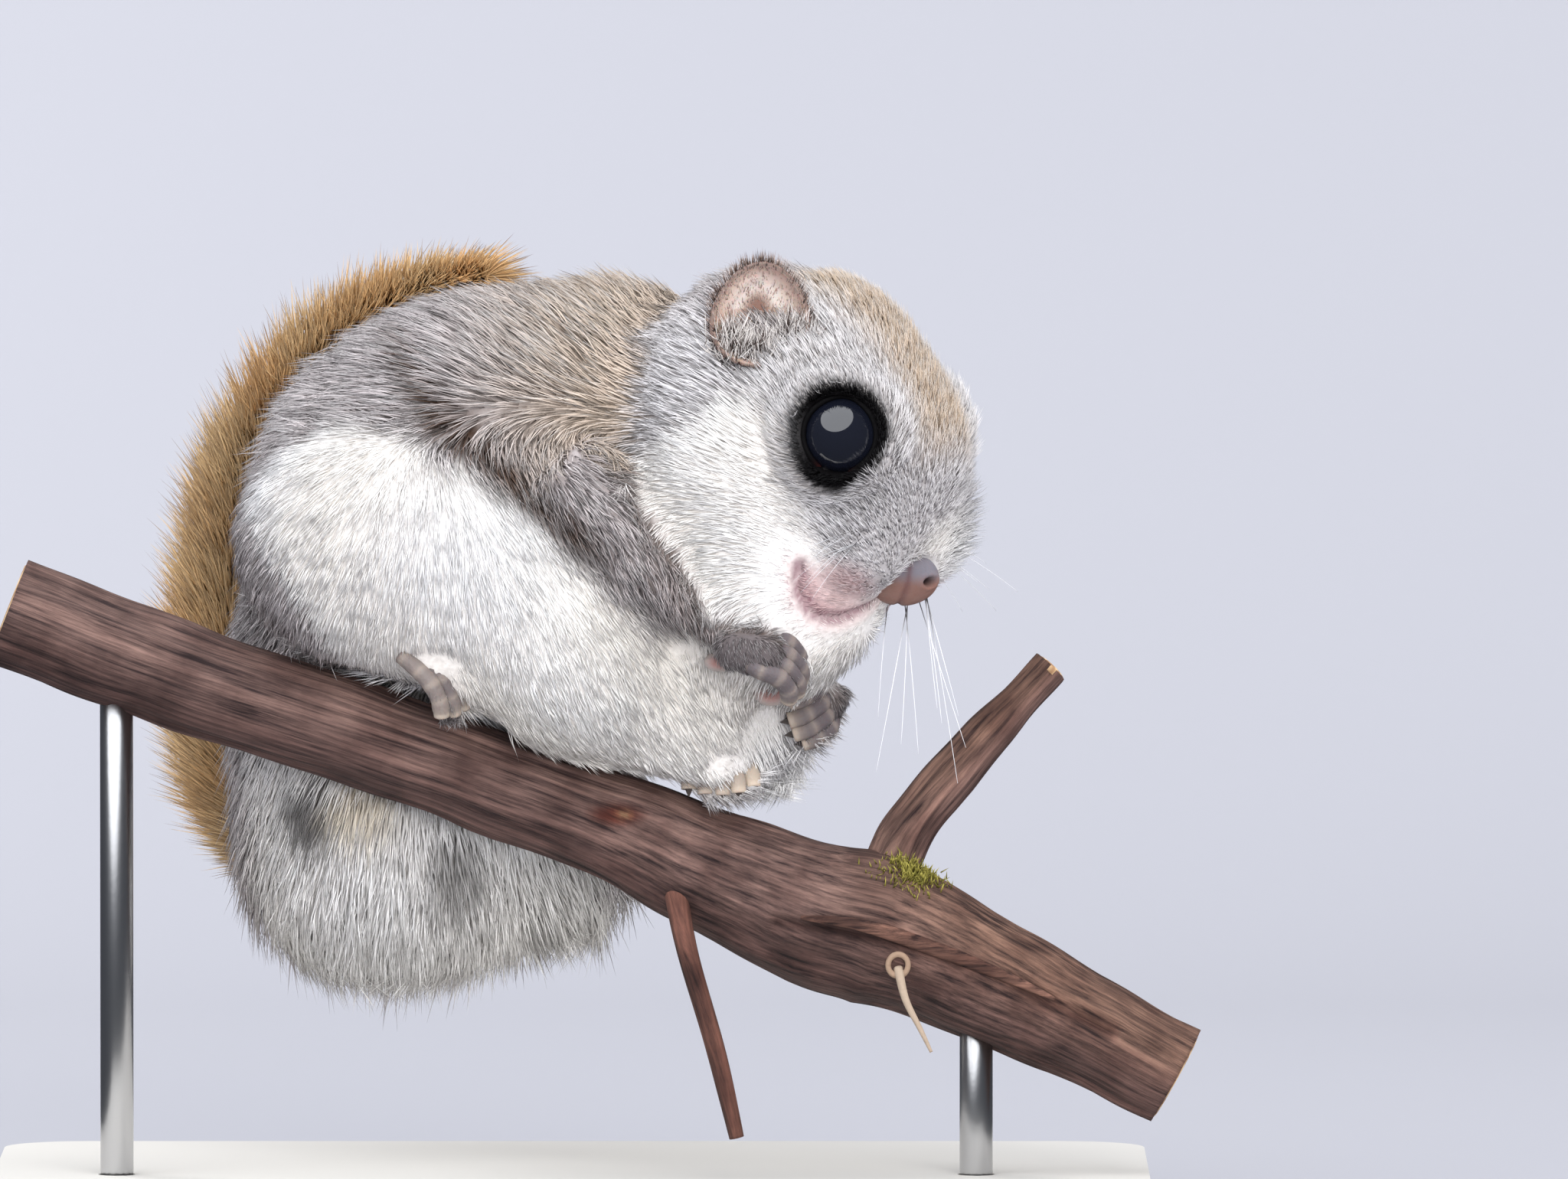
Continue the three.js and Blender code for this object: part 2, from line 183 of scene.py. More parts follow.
def multiplied(tree, one, other):
    product = add_node(tree, "ShaderNodeMix", data_type="RGBA", blend_type="MULTIPLY", Factor=1.0)
    tree.links.new(one, product.inputs[6])
    tree.links.new(other, product.inputs[7])
    return product.outputs[2]


def add_relief(tree, shader, height, strength, depth):
    relief = add_node(tree, "ShaderNodeBump", Strength=strength, Distance=depth)
    tree.links.new(height, relief.inputs["Height"])
    tree.links.new(relief.outputs["Normal"], shader.inputs["Normal"])


# %% [markdown]
# The head has a frame of its own, with x towards the nose, y to the animal's left and z to the crown,
# so that eyes, nose and mouth can be given once and mirrored.
# %% The head's frame
HEAD = {"nose": np.array([35.5, -12.0, 80.5]), "yaw": 30, "pitch": 61, "roll": -5}
EYE = {"back": 17.4, "out": 10.2, "up": 4.9, "radius": 4.9}


def head_axes():
    yaw, pitch, roll = (math.radians(HEAD[key]) for key in ("yaw", "pitch", "roll"))
    level = np.array([math.cos(yaw), -math.sin(yaw), 0.0])
    up = np.array([0.0, 0.0, 1.0])
    forward = level * math.cos(pitch) - up * math.sin(pitch)
    crown = level * math.sin(pitch) + up * math.cos(pitch)
    left = np.cross(crown, forward)
    turned_left = left * math.cos(roll) + crown * math.sin(roll)
    turned_crown = crown * math.cos(roll) - left * math.sin(roll)
    return np.array([forward, turned_left, turned_crown])


HEAD_AXES = head_axes()


def to_head(points):
    return (points - HEAD["nose"]) @ HEAD_AXES.T


def from_head(points):
    return np.asarray(points, float) @ HEAD_AXES + HEAD["nose"]


SIDES = {"right": -1, "left": 1}
EYES = {side: from_head([-EYE["back"], sign * EYE["out"], EYE["up"]]) for side, sign in SIDES.items()}
print("right eye at", np.round(EYES["right"], 1), "mm")


# %% [markdown]
# The camera comes first. The photo was taken with a long lens from about the branch's own height, so
# the camera stands three metres off with a narrow lens, and a very small turn down.
# %% Camera
VIEW = {"target": (20.74, 0.0, 78.9), "distance": 3000.0, "elevation": 3.0, "frame_width": 189.6}
SENSOR = 36.0


def add_camera():
    elevation = math.radians(VIEW["elevation"])
    back = np.array([0, -math.cos(elevation), math.sin(elevation)]) * VIEW["distance"]
    place = Vector(metres(np.array(VIEW["target"]) + back))
    bpy.ops.object.camera_add(location=place)
    camera = bpy.context.object
    camera.name = "photo_camera"
    camera.rotation_euler = (math.radians(90 - VIEW["elevation"]), 0, 0)
    camera.data.sensor_width = SENSOR
    camera.data.lens = SENSOR * VIEW["distance"] / VIEW["frame_width"]
    camera.data.clip_end = 20
    bpy.context.scene.camera = camera
    return camera


camera = add_camera()
print("lens", round(camera.data.lens), "mm")


# %% [markdown]
# A plain pale floor that curves up behind keeps the studio quiet. Soft area lights from the upper left
# and front follow the photo's open daylight, with a weak light from behind for the fur's edges.
# %% Floor and lights
FLOOR = {"half": 1.6, "front": -2.2, "back": 0.9, "rise": 2.2, "bend": 0.5, "steps": 16}


def add_floor():
    bpy.ops.mesh.primitive_plane_add(size=1)
    floor = bpy.context.object
    floor.name = "studio_floor"
    mesh = bmesh.new()
    profile = [(FLOOR["front"], 0.0)]
    for i in range(FLOOR["steps"] + 1):
        angle = math.pi / 2 * i / FLOOR["steps"]
        y = FLOOR["back"] - FLOOR["bend"] + FLOOR["bend"] * math.sin(angle)
        profile.append((y, FLOOR["bend"] * (1 - math.cos(angle))))
    profile.append((FLOOR["back"], FLOOR["rise"]))
    rows = [[mesh.verts.new((x, y, z)) for x in (-FLOOR["half"], FLOOR["half"])] for y, z in profile]
    for low, high in zip(rows, rows[1:]):
        mesh.faces.new((low[0], low[1], high[1], high[0]))
    mesh.to_mesh(floor.data)
    mesh.free()
    bpy.ops.object.shade_smooth()
    material, tree, shader = new_material("pale_backdrop", 0.9, Base_Color=(0.36, 0.36, 0.39, 1))
    clear = tree.nodes.new("ShaderNodeBsdfTransparent")
    either = tree.nodes.new("ShaderNodeMixShader")
    side = tree.nodes.new("ShaderNodeNewGeometry")
    tree.links.new(side.outputs["Backfacing"], either.inputs["Fac"])  # from behind the wall is clear
    tree.links.new(shader.outputs["BSDF"], either.inputs[1])
    tree.links.new(clear.outputs["BSDF"], either.inputs[2])
    tree.links.new(either.outputs["Shader"], tree.nodes["Material Output"].inputs["Surface"])
    floor.data.materials.append(material)
    floor.visible_glossy = False
    floor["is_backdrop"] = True


def add_light(name, place, size, power, colour=(1, 1, 1), mirrored=True):
    bpy.ops.object.light_add(type="AREA", location=Vector(place))
    lamp = bpy.context.object
    lamp.name = name
    lamp.data.shape = "DISK"
    lamp.data.size = size
    lamp.visible_glossy = mirrored
    lamp.data.energy = power
    lamp.data.color = colour
    aim = Vector(metres((0, 0, 80))) - lamp.location
    lamp.rotation_euler = aim.to_track_quat("-Z", "Y").to_euler()


add_floor()
add_light("sky_light", (-0.3, -0.75, 1.2), 2.6, 42, (0.95, 0.97, 1.0))
add_light("front_light", (0.4, -1.5, 0.35), 1.0, 22, (1.0, 0.98, 0.95), mirrored=False)
add_light("edge_light", (-0.7, 0.55, 0.5), 0.5, 6, mirrored=False)
add_light("right_light", (0.9, 0.15, 0.45), 0.6, 5, mirrored=False)
world = bpy.data.worlds.new("studio")
bpy.context.scene.world = world
world.use_nodes = True
room = world.node_tree
sky = room.nodes["Background"]
sky.inputs["Color"].default_value = (0.8, 0.86, 1.0, 1)
seen_by = room.nodes.new("ShaderNodeLightPath")
dimmed = room.nodes.new("ShaderNodeMapRange")  # mirrored in the eye, the room is nearly dark
dimmed.inputs["To Min"].default_value = 0.5
dimmed.inputs["To Max"].default_value = 0.1
room.links.new(seen_by.outputs["Is Glossy Ray"], dimmed.inputs["Value"])
room.links.new(dimmed.outputs["Result"], sky.inputs["Strength"])
bpy.context.scene.view_settings.view_transform = "Standard"
print("studio ready")


# %% [markdown]
# The skin is one closed surface under the coat. The solids of head, neck, trunk, legs and paws are drawn
# out to the hair tips, so copies of them are joined, fused by a voxel remesh, smoothed, and then let in
# by the depth of the coat at each place. The tail's flesh is a thin core of its own.
# %% Gather the solids
FLESH = ["head", "neck", "chest", "rump"]
for part in ("hind_leg", "membrane", "hind_foot", "foreleg", "forefoot"):
    FLESH += [part + "_right", part + "_left"]
TAIL_NODES = ["tail_base", "tail_middle", "tail_tip"]
TAIL_PATH = [
    (-33, 34, 43), (-42, 43, 48), (-46.5, 46, 62), (-46, 45, 78),
    (-42.6, 41, 93), (-34.5, 33.5, 105.5), (-23, 24.5, 113.6), (-11, 15.5, 117),
]
VOXEL = 0.7  # mm
MERGE = 0.01  # mm, within which doubled vertices become one
INFLATED = 0.45  # mm, so that thin places survive the fusing


def deselect():
    bpy.ops.object.select_all(action="DESELECT")


def only(obj):
    deselect()
    obj.select_set(True)
    bpy.context.view_layer.objects.active = obj


def copy_of(obj, name):
    twin = obj.copy()
    twin.data = obj.data.copy()
    twin.parent = None
    twin.name = name
    for key in list(twin.keys()):
        del twin[key]
    bpy.context.scene.collection.objects.link(twin)
    return twin


def joined(objects, name):
    deselect()
    for obj in objects:
        obj.select_set(True)
    bpy.context.view_layer.objects.active = objects[0]
    bpy.ops.object.join()
    objects[0].name = name
    return objects[0]


def in_edit_mode(obj, *steps):
    """Runs the operators in edit mode with the whole mesh selected."""
    only(obj)
    bpy.ops.object.mode_set(mode="EDIT")
    bpy.ops.mesh.select_all(action="SELECT")
    for step, settings in steps:
        step(**settings)
    bpy.ops.object.mode_set(mode="OBJECT")


def round_off(obj):
    for polygon in obj.data.polygons:
        polygon.use_smooth = True


def dress(obj, slot, material, *nodes):
    """Gives a piece its material, its body and the CAD nodes whose place it takes; the slot is not used."""
    obj.data.materials.clear()
    obj.data.materials.append(material)
    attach(obj, "root")
    if nodes:
        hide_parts(*nodes)


def vertices_of(obj):
    flat = np.empty(len(obj.data.vertices) * 3)
    obj.data.vertices.foreach_get("co", flat)
    return flat.reshape(-1, 3)


def normals_of(obj):
    flat = np.empty(len(obj.data.vertices) * 3)
    obj.data.vertex_normals.foreach_get("vector", flat)
    return flat.reshape(-1, 3)


def put_vertices(obj, points):
    obj.data.vertices.foreach_set("co", np.asarray(points).ravel())
    obj.data.update()


def mesh_object(name, points, faces):
    """A new mesh from places in millimetres."""
    mesh = bpy.data.meshes.new(name)
    mesh.from_pydata([tuple(p) for p in metres(points)], [], faces)
    obj = bpy.data.objects.new(name, mesh)
    bpy.context.scene.collection.objects.link(obj)
    return obj


def paint_vertices(obj, colours):
    """A colour per vertex, or one for all of them, in the attribute that the materials read."""
    layer = obj.data.attributes.get("coat_colour")
    if layer is None:
        layer = obj.data.attributes.new("coat_colour", "FLOAT_COLOR", "POINT")
    rgba = np.ones((len(obj.data.vertices), 4))
    rgba[:, :3] = np.clip(colours, 0, 1)
    layer.data.foreach_set("color", rgba.ravel())


def tree_of(points):
    """A search tree that finds the nearest of the points."""
    tree = kdtree.KDTree(len(points))
    for i, p in enumerate(points):
        tree.insert(p, i)
    tree.balance()
    return tree


def spline(points, steps):
    """A smooth line through the points: positions at even steps of the knots."""
    knots = np.array(points, float)
    padded = np.vstack([2 * knots[0] - knots[1], knots, 2 * knots[-1] - knots[-2]])
    out = []
    for t in np.linspace(0, len(knots) - 1 - 1e-6, steps):
        i, s = int(t), t - int(t)
        a, b, c, d = padded[i:i + 4]
        bend = (2 * a - 5 * b + 4 * c - d) * s * s + (3 * b - a - 3 * c + d) * s ** 3
        out.append(0.5 * (2 * b + (c - a) * s + bend))
    return np.array(out)


def tube(name, centres, radii, sides=10, flat=None):
    """A closed tube along the centres, with the wide axis along flat where one is given."""
    centres = np.asarray(centres, float)
    radii = np.asarray(radii, float).reshape(len(centres), -1)
    along = unit(np.gradient(centres, axis=0))
    reference = np.array(flat if flat is not None else (0.0, 1.0, 0.0), float)
    wide = unit(reference - along * (along @ reference)[:, None])
    thick = np.cross(along, wide)
    angle = np.linspace(0, 2 * math.pi, sides, endpoint=False)
    rings = (centres[:, None] + wide[:, None] * (np.cos(angle)[None, :, None] * radii[:, :1, None])
             + thick[:, None] * (np.sin(angle)[None, :, None] * radii[:, -1:, None]))
    points = np.vstack([rings.reshape(-1, 3), centres[:1], centres[-1:]])
    faces = []
    for i in range(len(centres) - 1):
        for k in range(sides):
            n = (k + 1) % sides
            faces.append((i * sides + k, i * sides + n, (i + 1) * sides + n, (i + 1) * sides + k))
    first, last = len(points) - 2, len(points) - 1
    for k in range(sides):
        n = (k + 1) % sides
        faces.append((first, n, k))
        faces.append((last, (len(centres) - 1) * sides + k, (len(centres) - 1) * sides + n))
    return mesh_object(name, points, faces)


TAIL_LINE = spline(TAIL_PATH, 60)
tail_share = np.linspace(0, 1, 60)
print("flesh nodes:", len(FLESH))


# %% Fuse them into one skin
def fuse_skin():
    copies = [copy_of(NODES[name], "skin_" + name) for name in FLESH]
    body = joined(copies, "skin")
    in_edit_mode(body, (bpy.ops.mesh.remove_doubles, {"threshold": MERGE * MM}),
                 (bpy.ops.transform.shrink_fatten, {"value": INFLATED * MM}))
    core = tube("tail_core", TAIL_LINE[2:-3], (2.8 - 1.7 * tail_share)[2:-3], 12)
    body = joined([body, core], "skin")
    body.data.remesh_voxel_size = VOXEL * MM
    body.data.remesh_voxel_adaptivity = 0
    only(body)
    bpy.ops.object.voxel_remesh()
    keep_largest(body)
    return body


def keep_largest(obj):
    """Deletes all but the biggest shell, such as closed pockets between the joined solids."""
    mesh = bmesh.new()
    mesh.from_mesh(obj.data)
    mesh.verts.ensure_lookup_table()
    seen = np.zeros(len(mesh.verts), bool)
    shells = []
    for start in range(len(seen)):
        if seen[start]:
            continue
        seen[start] = True
        stack, shell = [mesh.verts[start]], []
        while stack:
            vert = stack.pop()
            shell.append(vert)
            for edge in vert.link_edges:
                other = edge.other_vert(vert)
                if not seen[other.index]:
                    seen[other.index] = True
                    stack.append(other)
        shells.append(shell)
    shells.sort(key=len)
    bmesh.ops.delete(mesh, geom=[vert for shell in shells[:-1] for vert in shell], context="VERTS")
    mesh.to_mesh(obj.data)
    mesh.free()


skin = fuse_skin()
print("skin vertices:", len(skin.data.vertices))


# %% [markdown]
# Each place of the skin needs to know which part of the body it is on: the coat is long on the tail
# and rump and very short on the face and paws. The nearest CAD node gives a first answer, and averaging
# it over neighbours makes the change from one part to the next gradual.
# %% Body regions on the skin
REGIONS = ["head", "neck", "chest", "rump", "hind_leg", "membrane", "hind_foot", "foreleg", "forefoot",
           "tail"]


def edges_of(obj):
    flat = np.empty(len(obj.data.edges) * 2, np.int32)
    obj.data.edges.foreach_get("vertices", flat)
    return flat.reshape(-1, 2)


class Neighbours:
    """Averages any values over a mesh's edges, again and again."""

    def __init__(self, obj):
        self.edges = edges_of(obj)
        self.count = len(obj.data.vertices)
        self.degree = np.bincount(self.edges.ravel(), minlength=self.count)

    def average(self, values, share=1.0, times=1):
        values = np.array(values, float)
        columns = values.reshape(self.count, -1)
        a, b = self.edges.T
        for _ in range(times):
            total = np.stack([
                np.bincount(a, column[b], self.count) + np.bincount(b, column[a], self.count)
                for column in columns.T], axis=1)
            mean = total / self.degree[:, None]
            weight = np.broadcast_to(share, self.count)[:, None]
            columns = columns * (1 - weight) + mean * weight
        return columns.reshape(values.shape)


def region_weights(points, neighbours):
    tree_points, tree_region = [], []
    for index, region in enumerate(REGIONS[:-1]):
        for name in FLESH:
            if name == region or name in (region + "_right", region + "_left"):
                found = perch_mm(vertices_of(NODES[name]))
                tree_points.append(found)
                tree_region.append(np.full(len(found), index))
    tree_points.append(TAIL_LINE)
    tree_region.append(np.full(len(TAIL_LINE), len(REGIONS) - 1))
    tree_points, tree_region = np.vstack(tree_points), np.concatenate(tree_region)
    tree = tree_of(tree_points)
    nearest = np.array([tree_region[tree.find(p)[1]] for p in points])
    return neighbours.average(np.eye(len(REGIONS))[nearest], 1.0, 5)


skin_links = Neighbours(skin)
shape_points = perch_mm(vertices_of(skin))
weights = region_weights(shape_points, skin_links)
PAW = weights[:, REGIONS.index("hind_foot")] + weights[:, REGIONS.index("forefoot")]
print({region: int((weights[:, i] > 0.5).sum()) for i, region in enumerate(REGIONS)})


# %% Smooth the facets and let the skin in under the coat
COAT_DEPTH = {
    "head": 1.3, "neck": 2.0, "chest": 2.4, "rump": 3.2, "hind_leg": 2.0, "membrane": 1.8,
    "hind_foot": 0.15, "foreleg": 1.4, "forefoot": 0.15, "tail": 0.0,
}


def let_in(obj, points):
    """Smooths, then moves the skin inwards in small steps with a little smoothing between."""
    soft = 1 - 0.8 * np.clip(PAW * 1.5, 0, 1)
    points = skin_links.average(points, 0.5 * soft, 16)
    trunk = weights @ np.isin(REGIONS, ["neck", "chest", "rump", "hind_leg"]).astype(float)
    points = skin_links.average(points, 0.5 * smooth(trunk, 0.5, 1.0), 40)
    depth = weights @ np.array([COAT_DEPTH[region] for region in REGIONS])
    depth = depth * (1 - 0.85 * bump(points, from_head([-4.0, 0.0, -1.5]), (19, 19, 19)))
    depth = depth + INFLATED * (1 - weights[:, -1])
    steps = 5
    for _ in range(steps):
        put_vertices(obj, metres(points))
        inward = skin_links.average(normals_of(obj), 1.0, 2)
        points = points - unit(inward) * (depth / steps)[:, None]
        points = skin_links.average(points, 0.3 * soft, 2)
    return points


body_points = let_in(skin, shape_points)
put_vertices(skin, metres(body_points))
print("coat depth up to", max(COAT_DEPTH.values()), "mm")


# %% [markdown]
# The face is shaped on the skin itself. Round each eye the skin rises to a lid that hugs the ball and
# dips behind it in the opening. The mouth is a fold that runs from under the nose to the cheek, with
# soft lips beside it.
# %% Shape the face
LID = {"opening": 4.7, "rim": 0.35, "height": 2.75, "reach": 9.0}
MOUTH_SEEN = [(32.6, 79.6), (30.6, 77.6), (27.4, 76.3), (24.4, 77.0), (22.8, 79.6), (22.6, 82.6)]
MOUTH = {"deep": 0.9, "width": 0.6}
GAZE = {"forward": 0.16, "out": 0.93, "up": 0.3}


def gaze_of(side):
    """The direction the eye looks in: out to its side, and a little forwards and up."""
    return unit(np.array([GAZE["forward"], SIDES[side] * GAZE["out"], GAZE["up"]]) @ HEAD_AXES)


def eye_polar(points, side):
    """Height over the eyeball's centre along the gaze, distance from the gaze line, and the line's foot."""
    gaze = gaze_of(side)
    height = (points - EYES[side]) @ gaze
    foot = EYES[side] + height[:, None] * gaze
    return height, np.linalg.norm(points - foot, axis=1), foot


def fit_eye_sockets(points):
    points = points.copy()
    for side in EYES:
        gaze = gaze_of(side)
        height, away, _ = eye_polar(points, side)
        near = (away < LID["reach"]) & (height > -4)
        inside = 1 - smooth(away, LID["opening"] - 0.9, LID["opening"])
        rim = smooth(away, LID["opening"] - 0.6, LID["opening"] + 0.3)
        wanted = np.where(inside > 0, LID["height"] - 3.2 * inside, LID["height"] + LID["rim"] * rim)
        share = (1 - smooth(away, LID["opening"] + 1.2, LID["reach"])) * near
        points += gaze * ((wanted - height) * share)[:, None]
    return points


def on_skin(seen):
    """Where lines of sight through places across and up meet the side of the skin that is seen."""
    depsgraph = bpy.context.evaluated_depsgraph_get()
    tree = BVHTree.FromObject(skin, depsgraph)
    found = []
    for x, z in seen:
        start = Vector(metres((x, -150.0, z)))
        hit = tree.ray_cast(start, Vector((0, 1, 0)))[0]
        found.append(perch_mm(np.array(hit)))
    return np.array(found)


def mirror_in_head(points):
    """The same places on the other side of the head."""
    head = to_head(points)
    return from_head(head * np.array([1, -1, 1]))


def mouth_distance(points):
    """Distance from the mouth line on either side of the face."""
    gaps = np.full(len(points), 99.0)
    near = np.linalg.norm(points - HEAD["nose"], axis=1) < 30
    for line in MOUTH_LINES:
        found = np.linalg.norm(points[near][:, None] - line[None], axis=2).min(axis=1)
        gaps[near] = np.minimum(gaps[near], found)
    return gaps


def shape_face(points):
    points = fit_eye_sockets(points)
    near = np.linalg.norm(points - HEAD["nose"], axis=1) < 22
    gap = mouth_distance(points[near])
    put_vertices(skin, metres(points))
    normal = skin_links.average(normals_of(skin), 1.0, 2)[near]
    fold = np.exp(-(gap / MOUTH["width"]) ** 2)
    lips = np.exp(-((gap - 1.7) / 0.8) ** 2)
    points[near] += unit(normal) * (0.25 * lips - MOUTH["deep"] * fold)[:, None]
    return points


mouth_line = spline(on_skin(MOUTH_SEEN), 30)
MOUTH_LINES = [mouth_line, mirror_in_head(mouth_line)]
NOSE_PLACE = on_skin([(34.7, 81.4)])[0]
body_points = shape_face(body_points)
put_vertices(skin, metres(body_points))
print("lids open to", LID["opening"], "mm from the gaze line")


# %% Unwrap the skin
in_edit_mode(skin, (bpy.ops.uv.smart_project, {"angle_limit": math.radians(75), "island_margin": 0.002}))
skin.data.uv_layers[0].name = "OFBake"
round_off(skin)
print("skin faces:", len(skin.data.polygons))


# %% [markdown]
# The coat's markings are written once, as a function of place, and used for skin and hairs alike: grey
# brown above, white below and on the membrane, an ochre tail, and black round the eyes. The same function
# paints shade into the crease under the cheek, and dark fur with painted shade along the folded leg's edge.
# %% Markings
def linear(r, g, b):
    """Picture colour from 0 to 255 to the light values that shaders use."""
    c = np.array([r, g, b]) / 255
    return np.where(c < 0.04045, c / 12.92, ((c + 0.055) / 1.055) ** 2.4)


BACK = linear(198, 190, 190)
SHOULDER = linear(208, 188, 166)
WHITE = linear(253, 252, 252)
CREAM = linear(238, 226, 204)
FACE = linear(226, 222, 222)
FACE_TAN = linear(206, 184, 160)
MUZZLE = linear(150, 150, 162)
TAIL = linear(216, 172, 120)
TAIL_DARK = linear(70, 52, 42)
RING = linear(11, 9, 11)
ARM = linear(142, 128, 124)
PAW_GREY = linear(92, 84, 86)
# Dark brown for painted shade in creases, and for the dark fur at the membrane's edge.
DARK_FUR_AND_SHADE = linear(84, 64, 52)
SPOT = linear(50, 42, 42)
PINK = linear(206, 160, 162)
LIP_LINE = linear(120, 58, 84)
LIP_PAD = on_skin([(27.2, 80.0)])[0]
LIP_PAD_FAR = mirror_in_head(LIP_PAD[None])[0]
WHISKER_BED = on_skin([(31.5, 87.0)])[0]
WHISKER_BED_FAR = mirror_in_head(WHISKER_BED[None])[0]
# Where the white of the folded leg ends: its upper edge as across and up, its rear edge as up and across.
BULGE_TOP = [(-46, 94.5), (-42.8, 98.6), (-36.1, 103.4), (-28.5, 104.8), (-23.8, 105.5), (-20, 98.0),
             (-11.5, 89.5), (-7.7, 85.7), (-0.1, 81.0), (7.5, 75.3), (16, 68.0)]
BULGE_BACK = [(64, -33.0), (71.5, -36.1), (77.2, -39.0), (83.8, -42.8), (88.6, -45.6), (96, -46.0)]
BELLY_WAY = unit(np.array([0.35, -0.75, -0.55]))


def mix(colours, other, share):
    return colours * (1 - share[:, None]) + other * share[:, None]


def region(weight_table, name):
    return weight_table[:, REGIONS.index(name)]


def head_white(points):
    """How white the face is: below a line from under the eye back and down to the cheek's edge."""
    head = to_head(points)
    border = -3.0 + 0.8 * np.minimum(head[:, 0] + 13.5, 0) + 6.0 * smooth(-head[:, 0], 19, 24)
    border = np.maximum(border, -13.5)
    return smooth(border - head[:, 2], -2.5, 2.5)


def eye_ring(points):
    """One on the black skin and hairs round each eye, drawn out a little to the inner corner."""
    ring = np.zeros(len(points))
    for side in EYES:
        height, away, foot = eye_polar(points, side)
        way = unit(points - foot)
        inner = unit(HEAD_AXES[0] * 0.8 - HEAD_AXES[2] * 0.62)
        pull = np.clip(way @ inner, 0, 1) ** 6
        edge = 5.5 + 1.1 * pull
        ring = np.maximum(ring, (1 - smooth(away, edge, edge + 1.2)) * (height > -3))
    return ring


